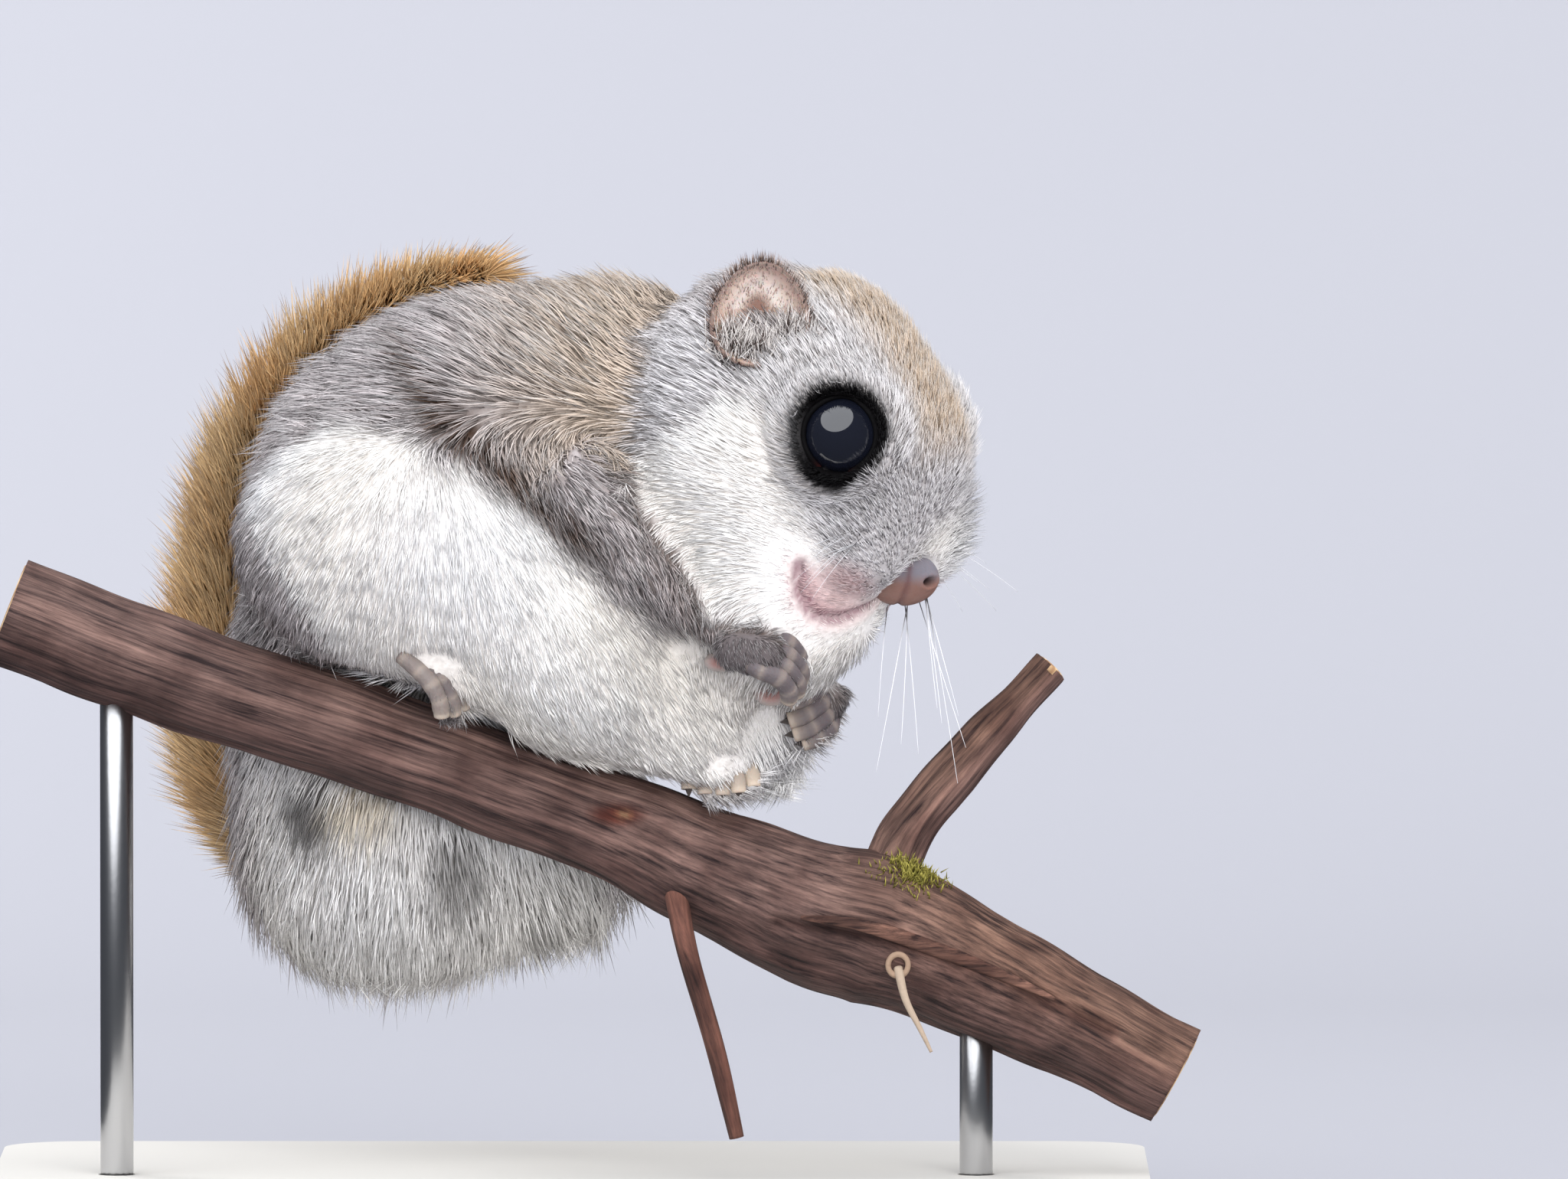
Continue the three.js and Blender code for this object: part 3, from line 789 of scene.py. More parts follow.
def markings(points, normals, w):
    """The coat's colour at each place, how white it is, and how much dark is streaked through it."""
    x, y, z = points.T
    head = to_head(points)
    belly = normals @ BELLY_WAY
    colour = np.tile(BACK, (len(points), 1))
    white = np.zeros(len(points))
    streak = np.full(len(points), 0.34)

    colour = mix(colour, SHOULDER, 0.75 * smooth(x, -22, 0) * smooth(z, 70, 84) * region(w, "chest"))
    chest_white = smooth(x, 4, 9) * (1 - smooth(z, 79, 86))
    white += region(w, "chest") * chest_white
    white += region(w, "rump") * smooth(belly, -0.1, 0.3) * (1 - smooth(z, 62, 72))
    white += region(w, "membrane") + region(w, "hind_leg") * smooth(belly, -0.75, -0.3)
    nape = smooth(z - 0.55 * np.clip(x - 4, 0, 30), 94, 98.5) * smooth(belly, -1.1, -0.9)
    neck_white = 1 - np.maximum(nape, smooth(-belly, 0.35, 0.7))
    white += region(w, "neck") * neck_white

    face = region(w, "head")
    colour = mix(colour, FACE, face)
    tan = (1 - smooth(np.abs(head[:, 1]), 3, 9)) * smooth(head[:, 2], 2, 7) * smooth(-head[:, 0], 7, 14)
    colour = mix(colour, FACE_TAN, face * tan * 0.9)
    muzzle = smooth(head[:, 0], -15, -9) * (1 - 0.8 * tan) * (1 - head_white(points))
    colour = mix(colour, MUZZLE, face * muzzle * 0.3)
    snout = bump(points, HEAD["nose"] + np.array([5.0, 2.0, 1.0]), (8.5, 12.0, 9.0))
    white += face * snout * 0.8
    white += face * head_white(points)
    streak = streak * (1 - 0.72 * face)

    leg = np.clip(region(w, "hind_leg") + region(w, "membrane") + region(w, "rump"), 0, 1)
    leg = leg * (1 - smooth(y, 12, 18))
    over = z - np.interp(x, *np.array(BULGE_TOP).T)
    behind = np.interp(z, *np.array(BULGE_BACK).T) + 3.2 - x
    back_edge = smooth(behind, -1.0, 1.5) * (1 - smooth(z, 97, 101))
    off_bulge = smooth(z, 58, 66) * np.maximum(smooth(over, 0.4, 2.4), back_edge)
    white = np.clip(white, 0, 1) * (1 - leg * off_bulge)
    warm = noise(points, 26, 3)
    pale = mix(np.tile(WHITE, (len(points), 1)), CREAM, 0.32 * warm)
    colour = colour * (1 - white[:, None]) + pale * white[:, None]
    streak = streak * (1 - white)

    arm = region(w, "foreleg") * smooth(x, -6, 12)
    colour = mix(colour, ARM, arm * 0.8)
    colour = mix(colour, PAW_GREY, np.clip(region(w, "forefoot") + region(w, "hind_foot"), 0, 1) * 0.85)
    colour = mix(colour, TAIL, region(w, "tail"))
    colour = mix(colour, RING, eye_ring(points) * np.clip(face + region(w, "neck"), 0, 1))
    # Along the folded leg's upper edge the fur darkens: partly the dark band at the membrane's edge, partly
    # painted shade of the crease, which the skin has no relief for.
    fold = np.exp(-((over - 3.2) / 2.8) ** 2) * smooth(x, -25.5, -22) * (1 - smooth(x, -6, 2))
    fold = fold * (1 - smooth(y, 0, 6)) * (1 - face)
    seen = np.where(to_head(points)[:, 1:2] > 0, mirror_in_head(points), points)
    fore_part = face + region(w, "neck")
    veil = smooth(seen[:, 0], 0.5, 4.0) * (1 - smooth(seen[:, 2], 108, 116)) * np.clip(fore_part, 0, 1)
    behind_eye = 1 - smooth(seen[:, 0], 14, 24)
    colour = mix(colour, linear(240, 238, 240), veil * behind_eye * 0.75 * (1 - white))
    # Painted shade: a dark line in the crease under the cheek, where face and neck meet the chest and arm.
    crease_shade = np.clip(1 - np.abs(fore_part - 0.3) / 0.3, 0, 1)
    crease_shade = crease_shade * (1 - smooth(z, 94, 100)) * (1 - smooth(y, -4, 2))
    colour = mix(colour, DARK_FUR_AND_SHADE, np.clip(crease_shade * 1.3, 0, 1) * (1 - white))
    colour = mix(colour, DARK_FUR_AND_SHADE, np.clip(fold, 0, 1) * (1 - white))
    crotch = bump(points, (-36, 8, 54), (5, 14, 6))
    spots = bump(points, (-19.5, 8, 47), (4.5, 14, 6)) + bump(points, (-9.6, 10, 39.5), (3.5, 14, 4))
    colour = mix(colour, SPOT, np.clip(crotch + 0.7 * spots, 0, 1) * region(w, "rump") * 0.8)
    colour = mix(colour, CREAM, bump(points, (-30, 6, 54), (6, 14, 5)) * region(w, "rump") * 0.8)
    mottle = bump(points, (-42.5, 2, 76), (4.5, 25, 8)) * noise(points, 4, 9)
    colour = mix(colour, SPOT, np.clip(mottle, 0, 1) * 0.8)
    gap = mouth_distance(points)
    head_side = np.clip(face + region(w, "neck"), 0, 1)
    pads = bump(points, LIP_PAD, (6.0, 9.0, 4.6)) + bump(points, LIP_PAD_FAR, (6.0, 9.0, 4.6))
    by_mouth = np.clip(0.8 * pads + 0.5 * (1 - smooth(gap, 1.0, 2.6)), 0, 1)
    colour = mix(colour, PINK, by_mouth * head_side * 0.75)
    colour = mix(colour, LIP_LINE, (1 - smooth(gap, 0.4, 1.2)) * head_side * 0.85)
    rooted = bump(points, WHISKER_BED, (7.0, 9.0, 6.0)) + bump(points, WHISKER_BED_FAR, (7.0, 9.0, 6.0))
    streak = streak + 0.42 * np.clip(rooted, 0, 1) * face
    return colour, white, streak


skin_normals = normals_of(skin)
skin_colour, skin_white, _ = markings(body_points, skin_normals, weights)
print("white share of the skin:", round(float(skin_white.mean()), 2))


# %% [markdown]
# The lie of the coat is a direction at each place. On the head hairs run from the nose back; over the
# back they run from the nape to the tail; on the rump they spread downwards; on the haunch and membrane
# they fan out from the knee; on the tail they stand out to both sides and towards the tip.
# %% The lie of the coat
TRUNK_YAW = math.radians(45)
TO_RIGHT = np.array([-math.sin(TRUNK_YAW), -math.cos(TRUNK_YAW), 0.0])
AHEAD = np.array([math.cos(TRUNK_YAW), -math.sin(TRUNK_YAW), 0.0])
BACK_CENTRE = np.array([-8.0, 10.0, 60.0])
RUMP_CENTRE = np.array([-24.0, 20.0, 66.0])
KNEES = {"right": np.array([-21.0, -12.0, 106.0]), "left": np.array([6.0, 36.0, 104.0])}


def lie_of(points, w):
    head = to_head(points)
    from_eye = np.zeros_like(points)
    for side in EYES:
        _, away, foot = eye_polar(points, side)
        from_eye += unit(points - foot) * (1 - smooth(away, 5, 11))[:, None]
    out = np.sign(head[:, 1])[:, None] * HEAD_AXES[1]
    sideways = np.clip(np.abs(head[:, 1]) / 14, 0, 1)[:, None]
    on_head = -HEAD_AXES[0] + 0.35 * out * sideways - 0.3 * HEAD_AXES[2] * sideways + 0.9 * from_eye
    on_head = on_head + 0.35 * HEAD_AXES[2] * smooth(head[:, 2], 6, 14)[:, None]
    on_neck = -0.9 * HEAD_AXES[0] - 0.25 * AHEAD - np.array([0, 0, 0.55]) * (head[:, 2] < 0)[:, None]
    on_back = unit(np.cross(TO_RIGHT, points - BACK_CENTRE)) - 0.3 * AHEAD - np.array([0, 0, 0.05])
    on_rump = 1.1 * unit(points - RUMP_CENTRE) + np.array([0, 0, -0.7])
    high = smooth(points[:, 2], 58, 76)[:, None]
    on_rump = on_rump * (1 - high) + on_back * high
    near_left = (points[:, 1] > 10)[:, None]
    on_leg = np.where(near_left, unit(points - KNEES["left"]), unit(points - KNEES["right"]))
    on_arm = np.where(near_left, np.array([0.5, -0.7, -0.7]), np.array([0.55, -0.1, -0.7]))
    on_foot = np.where(near_left, np.array([0.2, -1.0, -0.3]), np.array([0.8, -0.3, -0.5]))
    low = 1 - smooth(points[:, 2], 92, 108)[:, None]
    on_chest = on_back * (1 - low) + on_arm * low
    lies = [on_head, on_neck, on_chest, on_rump, on_leg, on_leg, on_foot, on_arm, on_arm, on_back]
    return sum(w[:, i:i + 1] * unit(lie) for i, lie in enumerate(lies))


LIE_ROUNDS = {"face": 24, "body": 130}


def even_lie(points, w):
    """The lies of lie_of, evened out over the skin so that no two ways of growth meet in a star."""
    total = lie_of(points, w)
    share = skin_links.degree / (skin_links.degree + 2)
    for step in range(LIE_ROUNDS["body"]):
        if step == LIE_ROUNDS["face"]:
            early = total
        total = skin_links.average(unit(total), share)
    face = smooth(region(w, "head"), 0.4, 0.9)[:, None]
    return unit(early) * face + unit(total) * (1 - face)


def laid_flat(total, points, normals):
    """Turns a lie into the skin's own plane, with a little waviness."""
    total = unit(total)
    total += 0.12 * np.stack([noise(points, 9, seed) - 0.5 for seed in (31, 32, 33)], axis=1)
    return unit(total - normals * (total * normals).sum(axis=1, keepdims=True))


skin_lies = even_lie(body_points, weights)

# Length, thickness and share of the hairs, and how steeply they leave the skin and end.
COAT = {
    "head": (2.9, 0.15, 2.9, 44, 24),
    "neck": (4.2, 0.19, 1.6, 32, 13),
    "chest": (6.6, 0.21, 1.2, 25, 8),
    "rump": (7.2, 0.23, 1.05, 38, 18),
    "hind_leg": (4.4, 0.19, 1.35, 24, 8),
    "membrane": (4.2, 0.19, 1.4, 26, 9),
    "hind_foot": (1.5, 0.13, 3.0, 25, 6),
    "foreleg": (4.0, 0.2, 1.5, 32, 10),
    "forefoot": (1.5, 0.13, 3.4, 25, 6),
    "tail": (9.0, 0.24, 0.0, 40, 20),
}
COAT_TABLE = np.array([COAT[name] for name in REGIONS])
print("hairs point back from the nose; the longest grow", COAT_TABLE[:, 0].max(), "mm")


# %% Scatter the roots
def triangles_of(obj):
    mesh = obj.data
    mesh.calc_loop_triangles()
    corners = np.empty(len(mesh.loop_triangles) * 3, np.int32)
    loops = np.empty(len(mesh.loop_triangles) * 3, np.int32)
    mesh.loop_triangles.foreach_get("vertices", corners)
    mesh.loop_triangles.foreach_get("loops", loops)
    uv = np.empty(len(mesh.loops) * 2)
    mesh.uv_layers["OFBake"].data.foreach_get("uv", uv)
    return corners.reshape(-1, 3), uv.reshape(-1, 2)[loops.reshape(-1, 3)]


FACING = unit(np.array([0.22, -0.86, -0.46]))
NOSE_UP = np.array([0.1, 0.0, 1.0])
NOSE_UP = unit(NOSE_UP - FACING * (NOSE_UP @ FACING))
NOSE_AXES = np.array([FACING, np.cross(NOSE_UP, FACING), NOSE_UP])


def bare(points):
    """Places with no hairs: the open eye, the nose and the lips' edges."""
    hidden = np.zeros(len(points), bool)
    for side in EYES:
        height, away, _ = eye_polar(points, side)
        hidden |= (away < LID["opening"] + 0.15) & (height > -3)
    hidden |= mouth_distance(points) < 0.7
    from_pad = (points - NOSE_PLACE) @ NOSE_AXES.T / np.array([4.5, 4.5, 3.5])
    return hidden | (np.linalg.norm(from_pad, axis=1) < 1)


def scatter(count, crowding):
    """Random roots on the skin: crowding gives each vertex its share, and area does the rest."""
    corners, uv = triangles_of(skin)
    a, b, c = (body_points[corners[:, k]] for k in range(3))
    area = np.linalg.norm(np.cross(b - a, c - a), axis=1) / 2
    density = crowding[corners].mean(axis=1) * area
    chosen = rng.choice(len(corners), size=count, p=density / density.sum())
    r1, r2 = rng.random(count), rng.random(count)
    s = np.sqrt(r1)
    share = np.stack([1 - s, s * (1 - r2), s * r2], axis=1)
    where = lambda values: (values[corners[chosen]] * share[..., None]).sum(axis=1)
    roots = {
        "place": where(body_points), "normal": unit(where(skin_normals)), "weights": where(weights),
        "lie": where(skin_lies),
        "uv": (uv[chosen] * share[..., None]).sum(axis=1),
    }
    keep = ~bare(roots["place"])
    return {key: value[keep] for key, value in roots.items()}


HAIRS = 108000
roots = scatter(HAIRS, weights @ COAT_TABLE[:, 2])
print("hairs on the body:", len(roots["place"]))


# %% [markdown]
# A hair lock is a thin three-sided blade: one ring at the root, one halfway and a point. It leaves the
# skin steeply and bends over to lie along the body. All are built at once as arrays, because modelling
# so many by hand operators would take hours; each is closed and has only ten triangles.
# %% Build locks from arrays
PATCH = 0.003  # width of a lock's patch on the skin's unwrap


def lock_points(base, first, second, side, length, width, middle=0.5):
    """Ring, ring and tip of every lock: base, halfway along first, then on along second."""
    half = base + first * (length * middle)[:, None]
    tip = half + second * (length * (1 - middle))[:, None]
    rings = []
    for centre, way, thick in ((base, first, 1.0), (half, unit(first + second), 0.72)):
        across = unit(np.cross(way, side))
        for angle in (90, 210, 330):
            c, s = math.cos(math.radians(angle)), math.sin(math.radians(angle))
            rings.append(centre + (side * c + across * s) * (width * thick / 2)[:, None])
    return np.stack(rings + [tip], axis=1)


LOCK_VERTICES = 7
LOCK_FACES = np.array([(0, 1, 4, 3), (1, 2, 5, 4), (2, 0, 3, 5)])
LOCK_TIPS = np.array([(3, 4, 6), (4, 5, 6), (5, 3, 6), (0, 2, 1)])
LOCK_UV = np.array([(-1, -1), (0, -1), (1, -1), (-1, 0.2), (0, 0.2), (1, 0.2), (0, 1)]) * PATCH / 2


def lock_mesh(name, points, uv, colours, slot):
    """Joins all locks into one mesh with their patches, colours and place along the hair."""
    count = len(points)
    mesh = bpy.data.meshes.new(name)
    mesh.vertices.add(count * LOCK_VERTICES)
    mesh.vertices.foreach_set("co", metres(points.reshape(-1, 3)).ravel())
    offset = (np.arange(count) * LOCK_VERTICES)[:, None, None]
    quads = (LOCK_FACES[None] + offset).reshape(count, -1)
    tips = (LOCK_TIPS[None] + offset).reshape(count, -1)
    corner = np.concatenate([quads, tips], axis=1)
    mesh.loops.add(corner.size)
    mesh.loops.foreach_set("vertex_index", corner.ravel())
    sizes = np.tile([4, 4, 4, 3, 3, 3, 3], count)
    mesh.polygons.add(len(sizes))
    mesh.polygons.foreach_set("loop_start", np.concatenate([[0], np.cumsum(sizes)[:-1]]))
    mesh.polygons.foreach_set("loop_total", sizes)
    mesh.polygons.foreach_set("use_smooth", np.ones(len(sizes), bool))
    mesh.update()
    layer = mesh.uv_layers.new(name="OFBake")
    local = np.concatenate([LOCK_FACES.ravel(), LOCK_TIPS.ravel()])
    layer.data.foreach_set("uv", (uv[:, None] + LOCK_UV[local][None]).ravel())
    paint = mesh.attributes.new("coat_colour", "FLOAT_COLOR", "POINT")
    rgba = np.ones((count, LOCK_VERTICES, 4))
    rgba[..., :3] = colours
    paint.data.foreach_set("color", rgba.ravel())
    along = mesh.attributes.new("along", "FLOAT", "POINT")
    along.data.foreach_set("value", np.tile([0, 0, 0, 0.5, 0.5, 0.5, 1], count).astype(float))
    obj = bpy.data.objects.new(name, mesh)
    bpy.context.scene.collection.objects.link(obj)
    dress(obj, slot, HAIR)


# %% Materials for skin and hairs
def hair_material(name):
    """The painted colour, darker towards the root, with a fine brightness change from hair to hair."""
    material, tree, shader = new_material(name, 0.55, Specular_IOR_Level=0.25)
    rooted = ramp_of(tree, attribute(tree, "along", "Fac"), (0.76, 0.74, 0.73), (1, 1, 1), (0, 0.6))
    grain = ramp_of(tree, grain_of(tree, 900.0, 2.0), (0.8, 0.8, 0.8), (1, 1, 1))
    shade = multiplied(tree, multiplied(tree, attribute(tree, "coat_colour"), rooted), grain)
    tree.links.new(shade, shader.inputs["Base Color"])
    return material


def skin_material(name):
    material, tree, shader = new_material(name, 0.85, Specular_IOR_Level=0.1)
    grain = grain_of(tree, 1400.0, 3.0)
    mottled = ramp_of(tree, grain, (0.55, 0.52, 0.5), (1, 1, 1))
    tree.links.new(multiplied(tree, attribute(tree, "coat_colour"), mottled), shader.inputs["Base Color"])
    add_relief(tree, shader, grain, 0.5, 0.0003)
    return material


HAIR = hair_material("coat_hair")
paint_vertices(skin, skin_colour * (0.8 + 0.15 * skin_white[:, None]))
dress(skin, "fur_white", skin_material("skin_under_coat"), *FLESH, *TAIL_NODES)
print("materials ready")


# %% Grow the body's coat
# Places and radii where hairs stay short, so that the toes and the fist are seen between them.
CLEARINGS = [
    ((-21.0, -13.0, 67.5), (6.5, 12.0, 5.0)),
    ((17.0, -21.0, 70.5), (9.5, 10.0, 7.0)),
    ((14.5, -8.0, 56.5), (3.8, 12.0, 3.0)),
]
PALE_TIP, FRINGE_TIP = linear(235, 232, 230), linear(96, 84, 80)


def grow(chosen, name, slot):
    """The locks of one piece: their lie, length, rise off the skin and colour come from where they stand."""
    place, normal, w = (roots[key][chosen] for key in ("place", "normal", "weights"))
    count = len(place)
    length, width, _, start, end = (w @ COAT_TABLE).T
    colour, white, streak = markings(place, normal, w)
    lie = laid_flat(roots["lie"][chosen], place, normal)
    shake = rng.normal(0, 0.11, (count, 3))
    lie = unit(lie + shake - normal * (shake * normal).sum(axis=1, keepdims=True))
    clump = noise(place, 3.2, 77)
    length = length * rng.uniform(0.75, 1.15, count) * (0.85 + 0.3 * clump)
    length = length * (1 + 0.3 * region(w, "rump") * (1 - smooth(place[:, 2], 40, 54)))
    ring = eye_ring(place)
    length = length * (1 - 0.5 * ring)
    gap = mouth_distance(place)
    length = length * (0.35 + 0.65 * smooth(gap, 1.5, 6))
    head = to_head(place)
    on_head = region(w, "head") > 0.5
    length = length * (0.6 + 0.4 * smooth(-head[:, 0], 2, 14)) ** on_head
    far_lip = bump(head, (-5.5, 7.5, 3.0), (8, 6, 9)) * on_head
    length = length * (1 + 1.9 * far_lip)
    lie = unit(lie + far_lip[:, None] * (0.9 * HEAD_AXES[1] + 0.3 * HEAD_AXES[0] - 0.3 * HEAD_AXES[2]))
    smooth_white = 1 - 0.45 * white * (1 - far_lip)
    rise0 = np.radians(start * smooth_white * rng.uniform(0.75, 1.25, count))
    rise1 = np.radians(end * smooth_white * rng.uniform(0.3, 1.6, count))
    first = unit(lie * np.cos(rise0)[:, None] + normal * np.sin(rise0)[:, None])
    second = lie * np.cos(rise1)[:, None] + normal * np.sin(rise1)[:, None]
    second = unit(second + rng.normal(0, 0.07, (count, 3)))
    side = unit(np.cross(lie, normal))
    tip = place + lie * (length * 0.9)[:, None]
    on_paw = np.clip(region(w, "hind_foot") + region(w, "forefoot"), 0, 1)
    for centre, radii in CLEARINGS:
        length = length * (1 - 0.72 * bump(tip, centre, radii) * (1 - on_paw))
    base = place - normal * 0.25
    width = width * rng.uniform(0.8, 1.2, count)
    points = lock_points(base, first, second, side, length, width)
    dark = rng.random(count) < streak * 0.8
    spread = 1 - 0.65 * white
    tone = 1 + spread * (rng.uniform(-0.16, 0.12, count) + 0.2 * (clump - 0.5))
    colour = colour * np.where(dark, 0.42, tone)[:, None]
    tips = np.repeat(colour[:, None], LOCK_VERTICES, axis=1)
    pale = (rng.random(count) < 0.5) * (1 - ring) * (1 - white)
    tips[:, -1] = mix(tips[:, -1], PALE_TIP, pale * 0.8)
    fringe = region(w, "rump") * (1 - smooth(place[:, 2], 42, 56)) * (rng.random(count) < 0.45)
    tips[:, -1] = mix(tips[:, -1], FRINGE_TIP, fringe * 0.8)
    lock_mesh(name, points, roots["uv"][chosen], np.clip(tips, 0, 1), slot)


main_region = roots["weights"].argmax(axis=1)
on_right = to_head(roots["place"])[:, 1] < 0
index = {name: i for i, name in enumerate(REGIONS)}
is_in = lambda *names: np.isin(main_region, [index[name] for name in names])
low = roots["place"][:, 2] < 66
front = roots["place"][:, 1] < 12
COAT_PIECES = {
    "coat_head_right": (is_in("head") & on_right, "fur_grey"),
    "coat_head_left": (is_in("head") & ~on_right, "fur_grey"),
    "coat_neck": (is_in("neck"), "fur_white"),
    "coat_back_front": (is_in("chest") & front, "fur_grey"),
    "coat_back_far": (is_in("chest") & ~front, "fur_grey"),
    "coat_rump_high": (is_in("rump") & ~low, "fur_grey"),
    "coat_rump_low": (is_in("rump") & low, "fur_white"),
    "coat_leg_right": (is_in("hind_leg", "membrane") & front, "fur_white"),
    "coat_leg_left": (is_in("hind_leg", "membrane") & ~front, "fur_white"),
    "coat_paws_arms": (is_in("hind_foot", "foreleg", "forefoot", "tail"), "fur_grey"),
}
MOST_LOCKS = 19500
for name, (chosen, slot) in COAT_PIECES.items():
    picks = np.flatnonzero(chosen)
    if len(picks) > MOST_LOCKS:
        print("too many locks on", name, len(picks))
        picks = picks[:MOST_LOCKS]
    grow(picks, name, slot)
    print(name, len(picks), "locks")


# %% [markdown]
# The tail is a fringe: long soft hairs stand out to both sides of a thin core and lean towards the tip,
# ochre with dark ends.
# %% Grow the tail's coat
TAIL_AXIS = unit(np.gradient(TAIL_LINE, axis=0))
TAIL_WIDE = unit(TO_RIGHT - TAIL_AXIS * (TAIL_AXIS @ TO_RIGHT)[:, None])
TAIL_THICK = np.cross(TAIL_AXIS, TAIL_WIDE)
TAIL_HAIRS = 27000
TAIL_LEAN = (math.radians(62), math.radians(40))  # off the tail's axis, at the hair's root and at its tip
TAIL_PALE = linear(222, 198, 156)
roots = scatter(TAIL_HAIRS, region(weights, "tail") ** 2)
tail_gap = np.linalg.norm(roots["place"][:, None] - TAIL_LINE[None], axis=2)
roots["knot"] = tail_gap.argmin(axis=1)


def grow_tail(chosen, name):
    place, knot = roots["place"][chosen], roots["knot"][chosen]
    count = len(place)
    axis, wide, thick = TAIL_AXIS[knot], TAIL_WIDE[knot], TAIL_THICK[knot]
    away = unit(place - TAIL_LINE[knot])
    sideways = (away * wide).sum(axis=1)
    up = (away * thick).sum(axis=1)
    out = unit(wide * (1.5 * sideways)[:, None] + thick * (0.6 * up)[:, None])
    t = tail_share[knot]
    taper = np.sqrt(np.clip(t / 0.22 + 0.2, 0, 1)) * np.sqrt(np.clip((1.04 - t) / 0.3, 0, 1))
    flat = np.abs((out * wide).sum(axis=1))
    length = (4.6 + 7.6 * flat) * taper * rng.uniform(0.7, 1.12, count)
    shake = rng.normal(0, 0.13, (count, 3))
    first, second = (unit(out * math.sin(lean) + axis * math.cos(lean) + shake) for lean in TAIL_LEAN)
    side = unit(np.cross(first, thick + 0.3 * wide))
    points = lock_points(place - away * 0.3, first, second, side, length, rng.uniform(0.2, 0.32, count))
    tone = rng.uniform(0.72, 1.15, count)
    warm = noise(place, 12, 51)
    colour = mix(np.tile(TAIL, (count, 1)), TAIL_PALE, 0.55 * warm) * tone[:, None]
    paint = np.repeat(colour[:, None], LOCK_VERTICES, axis=1)
    dark = (rng.random(count) < 0.55) * 0.85
    paint[:, -1] = mix(paint[:, -1], TAIL_DARK, dark)
    lock_mesh(name, points, roots["uv"][chosen], np.clip(paint, 0, 1), "fur_tail")


for part, (low_knot, high_knot) in {"base": (0, 22), "middle": (22, 41), "tip": (41, 60)}.items():
    picks = np.flatnonzero((roots["knot"] >= low_knot) & (roots["knot"] < high_knot))
    grow_tail(picks, "coat_tail_" + part)
    print("coat_tail_" + part, len(picks), "locks")


# %% [markdown]
# Small closed pieces such as nose, lids, ears and digits are painted too, by a colour per vertex,
# so that one kind of material serves them all.
# %% Painted pieces
def painted_material(name, roughness, bump_size, bump_depth, soft=0.0, coat=0.0, shine=0.5):
    """Takes its colour from the vertices, with fine relief of the given size."""
    material, tree, shader = new_material(
        name, roughness, Subsurface_Weight=soft, Subsurface_Scale=MM, Coat_Weight=coat,
        Specular_IOR_Level=shine)
    add_relief(tree, shader, grain_of(tree, 1000.0 / bump_size, 4.0), 0.6, bump_depth * MM)
    tree.links.new(attribute(tree, "coat_colour"), shader.inputs["Base Color"])
    return material


def finish_piece(obj, slot, material, *nodes):
    round_off(obj)
    dress(obj, slot, material, *nodes)


def ball(name, points_from_unit, detail=5):
    """An icosphere whose unit vertices are moved by a function to places in millimetres."""
    bpy.ops.mesh.primitive_ico_sphere_add(subdivisions=detail, radius=1)
    obj = bpy.context.object
    obj.name = name
    sphere = vertices_of(obj).copy()
    put_vertices(obj, metres(points_from_unit(sphere)))
    return obj, sphere


# %% Eyes
EYE_BLACK, _, _ = new_material(
    "eye_black", 0.05, Specular_IOR_Level=1.0, Base_Color=(0.005, 0.006, 0.011, 1))
LID_PINK = linear(110, 46, 42)
LID_SKIN = painted_material("lid_skin", 0.7, 0.5, 0.12, shine=0.15)
for side in EYES:
    gaze = gaze_of(side)

    def eyeball(sphere):
        bulge = 1 + 0.03 * np.clip(sphere @ gaze, 0, 1) ** 4
        return EYES[side] + sphere * (EYE["radius"] * bulge)[:, None]

    obj, _ = ball("eyeball_" + side, eyeball)
    finish_piece(obj, "eye", EYE_BLACK, "eye_" + side)
print("two eyeballs of radius", EYE["radius"], "mm")


# %% Eyelids
def lid(side, rings=96, steps=10):
    """A soft black rim round the opening, drawn out to the inner corner where a little pink shows."""
    gaze = gaze_of(side)
    inner = HEAD_AXES[0] * 0.8 - HEAD_AXES[2] * 0.62
    a = unit(inner - gaze * (inner @ gaze))
    b = np.cross(gaze, a)
    angle = np.linspace(0, 2 * math.pi, rings, endpoint=False)
    corner = np.clip(np.cos(angle), 0, 1) ** 10
    back_corner = np.clip(-np.cos(angle), 0, 1) ** 10
    opening = 4.2 + 0.75 * corner + 0.25 * back_corner
    height = np.sqrt(np.maximum(EYE["radius"] ** 2 - np.minimum(opening, 4.6) ** 2, 0.2)) + 0.15
    turn = np.linspace(0, 2 * math.pi, steps, endpoint=False)
    away = opening[:, None] + 0.5 + 0.62 * np.cos(turn)[None]
    high = (height - 0.25 - 0.2 * corner)[:, None] + 0.5 * np.sin(turn)[None] - 0.42 * np.cos(turn)[None]
    radial = a * np.cos(angle)[:, None] + b * np.sin(angle)[:, None]
    points = EYES[side] + radial[:, None] * away[..., None] + gaze * high[..., None]
    faces = []
    for i in range(rings):
        for k in range(steps):
            j, m = (i + 1) % rings, (k + 1) % steps
            faces.append((i * steps + k, j * steps + k, j * steps + m, i * steps + m))
    obj = mesh_object("eyelid_" + side, points.reshape(-1, 3), faces)
    pink = np.repeat(corner ** 2, steps) * np.tile(np.cos(turn) < -0.2, rings)
    paint_vertices(obj, mix(np.tile(RING * 0.5, (len(pink), 1)), LID_PINK, pink * 0.8))
    return obj


for side in EYES:
    finish_piece(lid(side), "nose_skin", LID_SKIN)
print("eyelids drawn round the opening of", LID["opening"], "mm")


# %% Nose
NOSE = {"radii": (2.3, 4.6, 3.6), "nostril": (0.62, 0.6, 0.2), "pit": 0.34, "sunk": -1.2}


